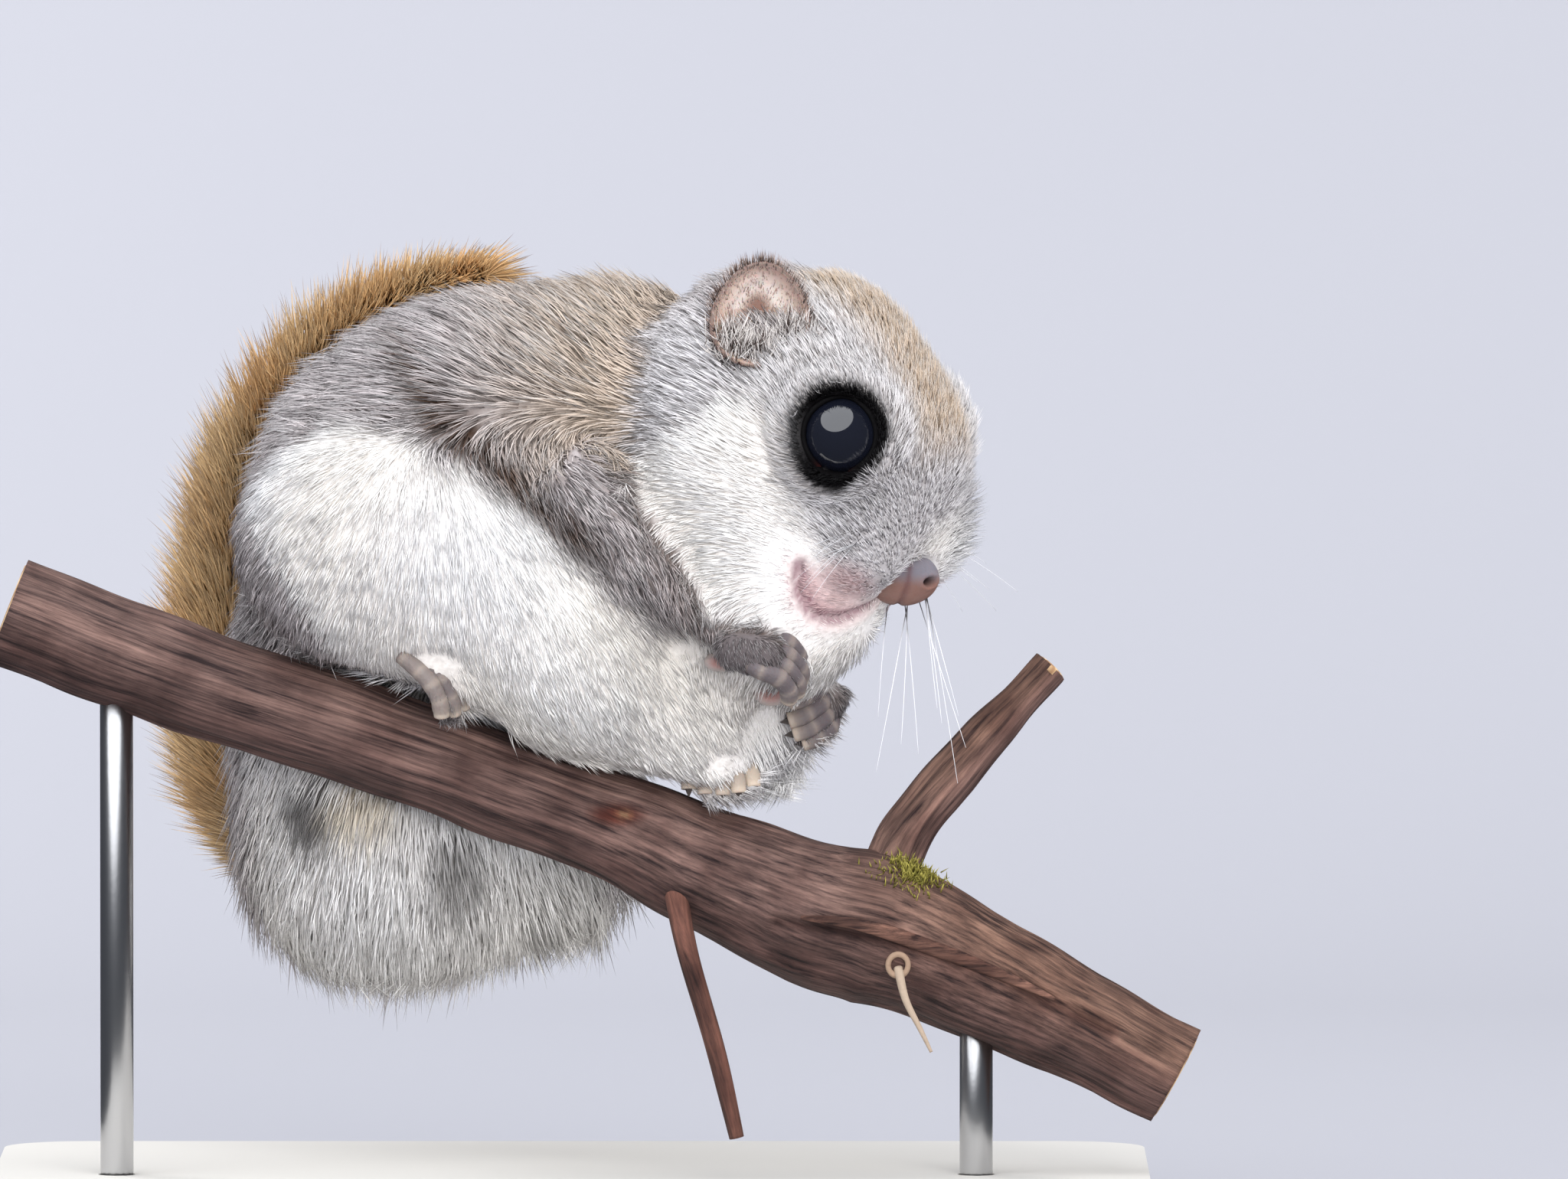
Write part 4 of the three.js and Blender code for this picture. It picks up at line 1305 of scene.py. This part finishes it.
def nostril_distance(sphere):
    mirrored = np.stack([sphere[:, 0], np.abs(sphere[:, 1]), sphere[:, 2]], axis=1)
    away = (mirrored - np.array(NOSE["nostril"])) * np.array([1, 1.1, 1.5])
    return np.linalg.norm(away, axis=1) / NOSE["pit"]


def nose_points(sphere):
    """A soft pad, full above each nostril, with a groove down its middle."""
    shape = sphere * np.array(NOSE["radii"])
    pit = nostril_distance(sphere)
    deep = 1 - smooth(pit, 0.2, 1.0)
    groove = np.exp(-(sphere[:, 1] / 0.09) ** 2) * smooth(-sphere[:, 2], -0.5, 0.2)
    ridge = np.exp(-((pit - 1.2) / 0.25) ** 2)
    shape = shape * (1 - 0.36 * deep - 0.1 * groove + 0.05 * ridge)[:, None]
    centre = NOSE_PLACE - FACING * NOSE["sunk"]
    return centre + shape @ NOSE_AXES


NOSE_SKIN = painted_material("nose_leather", 0.42, 0.45, 0.16, soft=0.15, coat=0.15)
nose, sphere = ball("nose_pad", nose_points, 5)
pit = nostril_distance(sphere)
nose_colour = np.tile(linear(128, 96, 86), (len(sphere), 1))
nose_colour = mix(nose_colour, linear(118, 114, 122), smooth(sphere[:, 2], 0.0, 0.6))
# painted shade in the nostril pits
nose_colour = mix(nose_colour, linear(30, 16, 18), 1 - smooth(pit, 0.45, 1.05))
nose_colour = mix(nose_colour, linear(96, 60, 62), 0.6 * np.exp(-(sphere[:, 1] / 0.08) ** 2))
paint_vertices(nose, nose_colour)
finish_piece(nose, "nose_skin", NOSE_SKIN, "nose")
print("nose pad", 2 * NOSE["radii"][1], "mm wide")


# %% [markdown]
# The ears are thin cups with a rolled dark rim and a soft fold inside. Fine short hairs cover their backs
# and a few pale ones stand in front of the opening.
# %% Ears
EAR = {"back": 30.2, "out": 13.6, "up": 1.0, "height": 12.8, "width": 12.4, "deep": 4.0, "wall": 0.32}
EAR_LEAN = {"right": 0.62, "left": -0.3}


def ear_axes(side):
    sign, lean = SIDES[side], EAR_LEAN[side]
    root = from_head([-EAR["back"], sign * EAR["out"], EAR["up"]])
    rise = unit(np.array([-math.cos(lean), sign * 0.2, math.sin(lean)]) @ HEAD_AXES)
    opening = np.array([0.5, sign * 0.8, 0.3]) @ HEAD_AXES
    opening = unit(opening - rise * (opening @ rise))
    return root, rise, np.cross(opening, rise), opening


def ear(side, sides=72, steps=20):
    root, rise, across, opening = ear_axes(side)
    lift = np.linspace(0.02, 1, steps) * math.pi / 2
    outer = [(math.sin(a), -math.cos(a) * EAR["deep"] - EAR["wall"] * (1 - 0.4 * math.sin(a))) for a in lift]
    rim = [(1.03, 0.12), (1.02, 0.34), (0.975, 0.42), (0.94, 0.3)]
    inner = [(math.sin(a) * 0.93, -math.cos(a) * (EAR["deep"] - 0.5)) for a in lift[::-1]]
    profile = np.array(outer + rim + inner)
    angle = np.linspace(0, 2 * math.pi, sides, endpoint=False)
    r, z = profile[:, 0], profile[:, 1]
    x = EAR["height"] * (0.4 + 0.5 * r[None] * np.cos(angle)[:, None])
    y = EAR["width"] * 0.47 * r[None] * np.sin(angle)[:, None] * (1 - 0.2 * np.cos(angle)[:, None])
    fold = np.exp(-((r[None] - 0.62) / 0.12) ** 2) * np.clip(np.sin(angle + 0.9), 0, 1)[:, None] ** 2
    high = z[None] + 0.5 * fold + 0.35 * r[None] ** 3 * np.cos(2 * angle)[:, None]
    points = root + rise * x[..., None] + across * y[..., None] + opening * high[..., None]
    steps_all = len(profile)
    flat = points.reshape(-1, 3)
    caps = points[:, [0, -1]].mean(axis=0)
    faces = []
    for i in range(sides):
        j = (i + 1) % sides
        for k in range(steps_all - 1):
            a, b = i * steps_all + k, j * steps_all + k
            faces.append((a, b, b + 1, a + 1))
        faces.append((len(flat), j * steps_all, i * steps_all))
        faces.append((len(flat) + 1, i * steps_all + steps_all - 1, j * steps_all + steps_all - 1))
    obj = mesh_object("ear_shell_" + side, np.vstack([flat, caps]), faces)
    in_edit_mode(obj, (bpy.ops.mesh.normals_make_consistent, {"inside": False}))
    part = np.tile(np.arange(steps_all), sides)
    around = np.repeat(angle, steps_all)
    radius = np.tile(r, sides)
    is_rim = np.exp(-((radius - 1.0) / 0.06) ** 2)
    inside = part > steps
    # Inside the cup: a painted highlight on the upper half, and painted shade at the bottom of the cup.
    sheen = np.exp(-((radius - 0.45) / 0.22) ** 2) * (np.cos(around) > 0)
    colours = np.tile(linear(206, 182, 168), (len(flat), 1))
    colours = mix(colours, linear(238, 230, 224), inside * sheen * 0.7)
    colours = mix(colours, linear(120, 78, 66), inside * (1 - smooth(radius, 0.1, 0.4)) * 0.8)
    colours = mix(colours, linear(150, 126, 116), ~inside * 0.7)
    colours = mix(colours, linear(70, 54, 50), is_rim * 0.85)
    paint_vertices(obj, np.vstack([colours, colours[:1], colours[-1:]]))
    return obj, points, steps


EAR_SKIN = painted_material("ear_skin", 0.5, 0.8, 0.1, soft=0.3)
ear_shells = {}
for side in EAR_LEAN:
    obj, grid, outer_steps = ear(side)
    finish_piece(obj, "ear_skin", EAR_SKIN, "ear_" + side)
    ear_shells[side] = (grid, outer_steps)
print("ears", EAR["height"], "mm high")


# %% Hairs on and before the ears
skin_tree = tree_of(body_points)
corner_vertices, corner_uv = triangles_of(skin)
vertex_uv = np.zeros((len(body_points), 2))
vertex_uv[corner_vertices.ravel()] = corner_uv.reshape(-1, 2)


def uv_near(points):
    """The place on the skin's unwrap that lies nearest to each point."""
    return vertex_uv[[skin_tree.find(p)[1] for p in points]]


def straight_locks(name, base, way, bend, length, width, colours, slot):
    side = unit(np.cross(way, bend + 1e-3))
    points = lock_points(base, unit(way), unit(way + bend), side, length, width)
    paint = np.repeat(colours[:, None], LOCK_VERTICES, axis=1)
    lock_mesh(name, points, uv_near(base), np.clip(paint, 0, 1), slot)


EAR_HAIRS = 3600
for side, (grid, outer_steps) in ear_shells.items():
    root, rise, across, opening = ear_axes(side)
    sides_count, profile_count = grid.shape[:2]
    i = rng.integers(0, sides_count, EAR_HAIRS)
    k = rng.integers(3, profile_count - 2, EAR_HAIRS)
    place = grid[i, k] + rng.normal(0, 0.12, (EAR_HAIRS, 3))
    middle = root + rise * EAR["height"] * 0.4
    out = unit(place - middle)
    on_back = k < outer_steps
    normal = np.where(on_back[:, None], unit(out * 0.6 - opening), unit(opening * 0.8 - out * 0.3))
    way = unit(rise * 0.8 + out * 0.5 + normal * 0.35 + rng.normal(0, 0.15, (EAR_HAIRS, 3)))
    length = np.where(on_back, 1.5, 0.75) * rng.uniform(0.6, 1.2, EAR_HAIRS)
    tone = rng.uniform(0.7, 1.1, EAR_HAIRS)
    colours = np.where(on_back[:, None], linear(150, 130, 120), linear(216, 192, 180)) * tone[:, None]
    near_rim = np.abs(k - outer_steps - 1) < 4
    colours = np.where((near_rim & (rng.random(EAR_HAIRS) < 0.7))[:, None], linear(74, 60, 56), colours)
    width = np.full(EAR_HAIRS, 0.09)
    straight_locks("ear_hairs_" + side, place, way, way * 0, length, width, colours, "fur_grey")
    front = rng.random(EAR_HAIRS // 4)
    count = len(front)
    turn = rng.uniform(0.68 * math.pi, 1.4 * math.pi, count)
    ring = rng.uniform(0.3, 0.62, count)
    base = root + rise * (EAR["height"] * (0.4 + ring * np.cos(turn)))[:, None]
    base = base + across * (EAR["width"] * ring * np.sin(turn))[:, None]
    base = base + opening * (front * 1.6 - 1.8)[:, None]
    way = unit(rise * 0.8 + opening * 0.45 + rng.normal(0, 0.35, (count, 3)))
    dark = rng.random(count) < 0.3
    colours = np.where(dark[:, None], linear(84, 70, 66), linear(232, 226, 222))
    length = rng.uniform(1.4, 5.2, count)
    bend = rise * 0.3 - opening * 0.2
    width = np.full(count, 0.15)
    straight_locks("ear_front_hairs_" + side, base, way, bend, length, width, colours, "fur_grey")
print("ear hairs on each side:", EAR_HAIRS)


# %% [markdown]
# The whiskers grow in rows from the pads beside the nose, dark at their roots and white beyond.
# %% Whiskers
WHISKER_ROWS = [
    ((37.0, -9.0, 78.0), (3.0, 2.5, 1.8), (0.12, 0.0, -1.0), 18, 0.075, 232),
    ((30.5, -22.0, 86.5), (2.5, 2.0, 1.6), (-0.75, -0.35, -0.45), 10, 0.045, 200),
    ((40.0, 2.0, 84.0), (2.5, 2.0, 2.5), (0.55, 0.75, -0.35), 14, 0.06, 225),
]


def whiskers():
    tubes = []
    for bed, spread, way, long, thick, pale in WHISKER_ROWS:
        for _ in range(9):
            x, y, z = np.array(bed) + np.array(spread) * rng.uniform(-1, 1, 3)
            root = body_points[skin_tree.find((x, y, z))[1]]
            far = long * rng.uniform(0.6, 1.15)
            start = unit(np.array(way) + rng.normal(0, 0.13, 3))
            sag = np.array([0.0, 0.0, -0.3]) + rng.normal(0, 0.08, 3)
            steps = np.linspace(-0.04, 1, 18)[:, None]
            line = root + start * far * steps + sag * far * 0.5 * steps ** 2
            made = tube("whisker", line, np.linspace(thick, thick * 0.3, 18), 6)
            t = np.concatenate([np.repeat(np.linspace(0, 1, 18), 6), [0, 1]])
            dark_root = np.tile(linear(38, 32, 34), (len(t), 1))
            paint_vertices(made, mix(dark_root, linear(pale, pale, pale + 3), smooth(t, 0.12, 0.45)))
            tubes.append(made)
    return joined(tubes, "whiskers")


WHISKER = painted_material("whisker_hair", 0.3, 1.0, 0.01)
finish_piece(whiskers(), "fur_white", WHISKER)
print("whiskers:", 9 * len(WHISKER_ROWS))


# %% [markdown]
# The digits follow the same curves as the CAD paws, with knuckles and soft pads, and each ends in a claw.
# %% Digits and claws
PAWS = {
    "hind_foot_right": ((-22, -11, 71.2), (0.8, -0.2, -0.45), (0.2, -0.6, 0.8), "foot"),
    "hind_foot_left": ((12.4, -0.5, 59.6), (0.15, -1, -0.2), (0, -0.2, 1), "foot"),
    "forefoot_right": ((18.4, -19.5, 72.2), (1, -0.15, -0.15), (0.1, -0.75, 0.65), "hand"),
    "forefoot_left": ((25.6, 0.5, 65.6), (0.25, -1, -0.35), (0.9, 0.25, 0.4), "hand"),
}
SHAPES = {
    "foot": {"palm": 9, "digits": 5, "reach": 9.0, "radius": 1.1, "spread": 2.9, "fan": 0.2, "curl": 1.4},
    "hand": {"palm": 4, "digits": 4, "reach": 9, "radius": 1.18, "spread": 2.6, "fan": 0.05, "curl": 2.1},
}
CREAM_TOE = linear(222, 204, 182)


def digit_lines(place, forward, up, shape):
    x = unit(np.array(forward, float))
    z = np.array(up, float)
    z = unit(z - x * (z @ x))
    y = np.cross(z, x)
    at = lambda a, b, c: np.array(place, float) + x * a + y * b + z * c
    lines = []
    for i in range(shape["digits"]):
        share = 2 * i / (shape["digits"] - 1) - 1
        reach = shape["reach"] * (1 - 0.16 * share * share)
        route = [at(-shape["palm"] * 0.3, share * shape["spread"] * 0.7, 0)]
        for along in (0, 0.3, 0.6, 0.85, 1):
            bend = shape["curl"] * along
            ahead = reach * math.sin(bend) / shape["curl"]
            down = reach * (1 - math.cos(bend)) / shape["curl"]
            across = share * shape["spread"] + ahead * math.sin(share * shape["fan"])
            route.append(at(ahead * math.cos(share * shape["fan"]), across, -down))
        lines.append(spline(route, 36))
    return lines


DIGIT_SIDES = 14
PALER_TOES = (0.12, 0.05, 0.1, 0.35, 0.5)


def digits_and_claws(name, place, forward, up, kind):
    shape = SHAPES[kind]
    digits, claws = [], []
    for line in digit_lines(place, forward, up, shape):
        t = np.linspace(0, 1, len(line))
        end = int(len(line) * 0.86)
        knuckles = 0.1 * np.exp(-((t - 0.42) / 0.07) ** 2) + 0.1 * np.exp(-((t - 0.68) / 0.06) ** 2)
        radius = shape["radius"] * (1.0 - 0.14 * t + knuckles) * np.sqrt(np.clip((0.9 - t) / 0.06, 0.15, 1))
        digit = tube("digit", line[:end], radius[:end], DIGIT_SIDES)
        rings = np.repeat(t[:end], DIGIT_SIDES)
        rings = np.concatenate([rings, [0, t[end - 1]]])
        bands = 0.5 + 0.5 * np.sin(rings * 34)
        cream = smooth(rings, 0.6, 0.9) * 0.4 + 0.16 * bands ** 4
        shade = mix(np.tile(PAW_GREY, (len(rings), 1)), CREAM_TOE, cream)
        if kind == "foot":
            shade = mix(shade, CREAM_TOE, np.full(len(rings), PALER_TOES[len(digits)]))
        paint_vertices(digit, shade)
        digits.append(digit)
        start = int(len(line) * 0.8)
        claw_radius = np.linspace(shape["radius"] * 0.5, 0.06, len(line) - start)
        claws.append(tube("claw", line[start:], claw_radius, 10))
    finish_piece(joined(digits, "digits_" + name), "fur_grey", TOE_SKIN)
    finish_piece(joined(claws, "claws_" + name), "claw", CLAW)


TOE_SKIN = painted_material("toe_skin", 0.6, 0.5, 0.25, soft=0.1)
CLAW, _, _ = new_material("claw_horn", 0.3, Base_Color=(0.05, 0.04, 0.036, 1))
for name, paw in PAWS.items():
    digits_and_claws(name, *paw)

PALM_PADS = [((19.2, 67.0), (2.2, 1.5, 1.6)), ((13.0, 70.9), (1.9, 1.3, 1.2))]
PAD_COLOUR, PAD_RIM = linear(172, 128, 120), linear(168, 156, 150)
pads = []
for seen, radii in PALM_PADS:
    heel = on_skin([seen])[0]
    bpy.ops.mesh.primitive_uv_sphere_add(segments=32, ring_count=20, radius=MM)
    pad = bpy.context.object
    spots = vertices_of(pad) / MM
    away = np.linalg.norm(spots[:, [0, 2]], axis=1)
    put_vertices(pad, metres(spots * np.array(radii) + heel + np.array([0, -0.6, 0])))
    paint_vertices(pad, mix(np.tile(PAD_COLOUR, (len(spots), 1)), PAD_RIM, smooth(away, 0.3, 0.95)))
    pads.append(pad)
finish_piece(joined(pads, "palm_pads"), "nose_skin", TOE_SKIN)
print("digits:", sum(SHAPES[paw[3]]["digits"] for paw in PAWS.values()))


# %% [markdown]
# The branch is a cut length with weathered bark: long fibres, a swelling with an old stub, a scar, and a
# strip of bark that has lifted from a dark split.
# %% Bark material
def bark_material(name, light, dark):
    """Fibres stretched along the branch: noise over the along and around coordinates kept as a vector."""
    material, tree, shader = new_material(name, 0.85)
    place = attribute(tree, "bark_place", "Vector")
    stretch = add_node(tree, "ShaderNodeMapping", Scale=(0.035, 1.0, 1.0))
    fibre = add_node(tree, "ShaderNodeTexNoise", Scale=1.5, Detail=8.0, Roughness=0.7)
    patch = add_node(tree, "ShaderNodeTexNoise", Scale=0.16, Detail=4.0)
    tree.links.new(place, stretch.inputs["Vector"])
    tree.links.new(stretch.outputs["Vector"], fibre.inputs["Vector"])
    tree.links.new(place, patch.inputs["Vector"])
    fibres = ramp_of(tree, fibre.outputs["Fac"], dark, light, (0.36, 0.66))
    patches = ramp_of(tree, patch.outputs["Fac"], (0.55, 0.5, 0.5), (1, 1, 1), (0.35, 0.62))
    shade = multiplied(tree, multiplied(tree, fibres, patches), attribute(tree, "coat_colour"))
    tree.links.new(shade, shader.inputs["Base Color"])
    add_relief(tree, shader, fibre.outputs["Fac"], 0.9, 0.0006)
    return material


BARK = bark_material("bark_weathered", linear(146, 116, 106), linear(46, 32, 32))
BRANCH = {
    "path": [(-73, 76.4), (-55, 69.4), (-37, 63.4), (-18, 57), (-1, 50.6), (11, 45.2),
             (24, 39.8), (32, 37.6), (43, 33), (56, 26.4), (68, 19.8)],
    "radii": [6.9, 6.6, 6.4, 6.3, 6.7, 7.7, 8.8, 9.3, 8, 6.8, 6.4],
}


def keep_place(obj, places):
    layer = obj.data.attributes.new("bark_place", "FLOAT_VECTOR", "POINT")
    layer.data.foreach_set("vector", places.ravel())


def bark_tube(name, centres, radii, sides, rough, seed):
    """A tube with fibrous relief, and its along and around place kept for the bark's material."""
    centres, radii = np.asarray(centres, float), np.asarray(radii, float)
    obj = tube(name, centres, radii, sides)
    points = perch_mm(vertices_of(obj))
    gone = np.concatenate([[0], np.cumsum(np.linalg.norm(np.diff(centres, axis=0), axis=1))])
    along = np.concatenate([np.repeat(gone, sides), [0, gone[-1]]])
    centre = np.vstack([np.repeat(centres, sides, axis=0), centres[:1], centres[-1:]])
    out = points - centre
    place = np.stack([along, out[:, 1], out[:, 2]], axis=1)
    way = unit(out)
    stretched = np.stack([along * 0.07, way[:, 1] * radii.mean(), way[:, 2] * radii.mean()], axis=1)
    ridge = noise(stretched, 3.2, seed) - 0.5 + 0.5 * (noise(stretched, 1.5, seed + 1) - 0.5)
    lumps = noise(points, 14, seed + 2) - 0.5
    walls = len(centres) * sides
    points[:walls] += (way * (rough * (1.1 * ridge + 0.9 * lumps))[:, None])[:walls]
    put_vertices(obj, metres(points))
    keep_place(obj, place)
    return obj, points, way, along


def bark_tint_and_shade(points, way, dark=0.5):
    """Painted shade darkens the underside to deep brown; above, the bark is grey, with more tan towards the
    lower end.
    """
    tint = np.ones((len(points), 3))
    # painted shade: darker the more a place faces down
    tint = mix(tint, np.array([0.42, 0.32, 0.33]), smooth(-way[:, 2], -0.25, 0.75) * dark * 1.5)
    tan = smooth(points[:, 0], 20, 48) * smooth(way[:, 2], -0.5, 0.4)
    return mix(tint, np.array([1.12, 0.9, 0.72]), tan * 0.8)


BRANCH_RINGS = 260
branch_line = spline([(x, 0, z) for x, z in BRANCH["path"]], BRANCH_RINGS)
branch_knots = np.linspace(0, len(BRANCH["radii"]) - 1, BRANCH_RINGS)
branch_radii = np.interp(branch_knots, range(len(BRANCH["radii"])), BRANCH["radii"]) - 0.25
branch, branch_points, branch_way, branch_along = bark_tube(
    "branch_bark", branch_line, branch_radii, 72, 0.55, 5)
tint = bark_tint_and_shade(branch_points, branch_way)
scar = bump(branch_points, (0.5, -6.4, 52.0), (4.6, 4.0, 1.9))
tint = mix(tint, np.array([0.55, 0.24, 0.18]), scar)
tint = mix(tint, np.array([1.3, 0.95, 0.62]), bump(branch_points, (1.5, -6.6, 52.0), (1.5, 3.0, 0.8)))
SPLIT = [(20, -8.6, 39.0), (30, -9.0, 37.6), (38, -8.4, 35.4), (48, -6.9, 31.0), (60, -6.2, 25.6)]
split_line = spline(SPLIT, 120)
split_gap = np.linalg.norm(branch_points[:, None] - split_line[None], axis=2).min(axis=1)
split = np.exp(-(split_gap / 0.75) ** 2)
tint = mix(tint, np.array([0.16, 0.1, 0.1]), split * 0.9)
lips = np.exp(-((split_gap - 1.8) / 0.7) ** 2)
branch_points = branch_points - branch_way * (0.7 * split - 0.35 * lips)[:, None]
put_vertices(branch, metres(branch_points))
paint_vertices(branch, tint)
finish_piece(branch, "bark", BARK, "perch_branch")
print("branch", round(float(branch_along.max())), "mm long")


# %% Cut ends, twig, shoot, stub and lifted bark
def wood_material(name):
    material, tree, shader = new_material(name, 0.8)
    rings = add_node(tree, "ShaderNodeTexWave", wave_type="RINGS", rings_direction="X",
                     Scale=1.1, Distortion=1.5, Detail=3.0)
    tree.links.new(attribute(tree, "bark_place", "Vector"), rings.inputs["Vector"])
    shade = ramp_of(tree, rings.outputs["Fac"], linear(150, 116, 84), linear(206, 176, 134))
    tree.links.new(shade, shader.inputs["Base Color"])
    add_relief(tree, shader, rings.outputs["Fac"], 0.4, 0.0002)
    return material


WOOD = wood_material("cut_wood")


def end_disc(name, line, radius, at_start):
    """A thin disc of bare wood set on a cut end, a little smaller than the bark round it."""
    centre = line[0] if at_start else line[-1]
    way = unit(line[0] - line[3]) if at_start else unit(line[-1] - line[-4])
    reach = [-0.8, -0.1, 0.16, 0.2]
    sizes = [radius * k for k in (0.9, 0.9, 0.86, 0.3)]
    disc, _, _, _ = bark_tube(name, [centre + way * r for r in reach], sizes, 48, 0.0, 3)
    paint_vertices(disc, (1, 1, 1))
    finish_piece(disc, "bark", WOOD)


end_disc("cut_end_left", branch_line, branch_radii[0], True)
end_disc("cut_end_right", branch_line, branch_radii[-1], False)

STICK_RINGS = 90
STICKS = {
    "twig_bark": ([(31.5, 1, 38), (35, 2, 48.5), (43.5, 4, 59), (53, 7, 69)], (3.6, 2.3), 32, 0.5,
                  "perch_twig"),
    "shoot_bark": ([(7, -3, 46), (9, -7.6, 36), (12.4, -8.2, 24), (15, -7.6, 13)], (1.35, 0.95), 16, 0.16,
                   "perch_shoot"),
}
for name, (path, (thick, thin), sides, rough, node) in STICKS.items():
    line = spline(path, STICK_RINGS)
    stick, points, way, _ = bark_tube(name, line, np.linspace(thick, thin, STICK_RINGS), sides, rough, 11)
    tint = bark_tint_and_shade(points, way, 0.35)
    if name == "shoot_bark":
        tint = tint * np.array([0.72, 0.5, 0.42])
    paint_vertices(stick, tint)
    finish_piece(stick, "bark", BARK, node)
end_disc("twig_end", spline(STICKS["twig_bark"][0], STICK_RINGS), 2.3, False)

STUB = {
    "ring": (34.5, -9.2, 34.0),
    "stalk": [(34.5, -8.9, 33.6), (35.4, -11.4, 30.0), (37.2, -12.2, 26.4), (38.5, -12.4, 23.7)],
}
bpy.ops.mesh.primitive_torus_add(
    major_radius=1.2 * MM, minor_radius=0.34 * MM, major_segments=40, minor_segments=14)
ring = bpy.context.object
ring.name = "stub_ring"
put_vertices(ring, vertices_of(ring)[:, [0, 2, 1]] * np.array([1, -1, 1.08]) + metres(STUB["ring"]))
paint_vertices(ring, linear(146, 122, 102))
stalk = tube("stalk", spline(STUB["stalk"], 40), np.linspace(0.6, 0.2, 40), 10)
paint_vertices(stalk, linear(160, 142, 124))
PALE_WOOD = painted_material("pale_dead_wood", 0.8, 0.6, 0.3)
finish_piece(joined([ring, stalk], "dead_stalk"), "bark", PALE_WOOD)

STRIP_RINGS = 96
waves = 0.35 * np.sin(np.linspace(0, 9, STRIP_RINGS))[:, None]
strip_line = split_line[8:8 + STRIP_RINGS] + np.array([0.0, -0.55, 1.1]) + waves * np.array([0, -1, 0.6])
strip_wide = 0.95 * np.sqrt(np.clip(np.sin(np.linspace(0.05, math.pi - 0.05, STRIP_RINGS)), 0.05, 1))
strip = tube("strip", strip_line, np.stack([strip_wide * 0.35, strip_wide], axis=1), 10)
keep_place(strip, perch_mm(vertices_of(strip)))
paint_vertices(strip, 0.9 * np.array([1.0, 0.82, 0.7]))
strip.name = "lifted_bark"
finish_piece(strip, "bark", BARK)

MOSS = 500
spot = rng.normal(0, 1, (MOSS, 3)) * np.array([1.9, 1.6, 0.8]) + np.array([36.5, -4.5, 45.2])
branch_tree = tree_of(branch_points)
moss_root = np.array([branch_points[branch_tree.find(p)[1]] for p in spot]) + rng.normal(0, 0.35, (MOSS, 3))
moss_way = unit(np.array([0.1, -0.35, 1.0]) + rng.normal(0, 0.5, (MOSS, 3)))
moss_colour = mix(np.tile(linear(96, 92, 36), (MOSS, 1)), linear(176, 166, 84), rng.random(MOSS))
moss_long = rng.uniform(0.6, 1.5, MOSS)
moss_wide = np.full(MOSS, 0.22)
straight_locks("moss", moss_root, moss_way, moss_way * 0, moss_long, moss_wide, moss_colour, "bark")
print("perch pieces ready")


# %% [markdown]
# The stand is plain: a matt pale board with eased edges, and two brushed steel rods.
# %% Stand
def plain_material(name, colour, roughness, metal=0.0):
    material, tree, shader = new_material(name, roughness, Base_Color=(*colour, 1), Metallic=metal)
    add_relief(tree, shader, grain_of(tree, 1500.0, 3.0), 0.12, 0.0001)
    return material


BOARD = plain_material("board_matt", (0.62, 0.6, 0.56), 0.6)
STEEL = plain_material("steel_brushed", (0.55, 0.55, 0.56), 0.28, 1.0)
board = copy_of(NODES["stand_base"], "stand_board")
only(board)
bevel = board.modifiers.new("eased_edges", "BEVEL")
bevel.width = 0.7 * MM
bevel.segments = 3
bevel.limit_method = "ANGLE"
bpy.ops.object.modifier_apply(modifier="eased_edges")
bpy.ops.object.shade_smooth_by_angle(angle=math.radians(40))
dress(board, "stand_board", BOARD, "stand_base")
for side in ("left", "right"):
    cad_rod = perch_mm(vertices_of(NODES["stand_rod_" + side]))
    low, high = cad_rod.min(axis=0), cad_rod.max(axis=0)
    middle = (low + high) / 2
    heights = [low[2], low[2] + 0.3, high[2] - 0.3, high[2]]
    line = [(middle[0], middle[1], height) for height in heights]
    rod = tube("steel_rod_" + side, line, [1.7, 2.0, 2.0, 1.7], 40, flat=(1, 0, 0))
    finish_piece(rod, "rod_steel", STEEL, "stand_rod_" + side)
print("stand ready")


# %% [markdown]
# The triangle count and the corners of the finished piece and of the CAD frame are printed.
# %% Print the sizes
VISUAL_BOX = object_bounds()
triangles = sum(len(p.vertices) - 2 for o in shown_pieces() for p in o.data.polygons)
print("triangles:", triangles)
for corner, which in enumerate(("low", "high")):
    in_mm = [[round(1000 * c, 1) for c in box[corner]] for box in (CAD_BOX, VISUAL_BOX)]
    print(which, "corners (mm):", *in_mm)
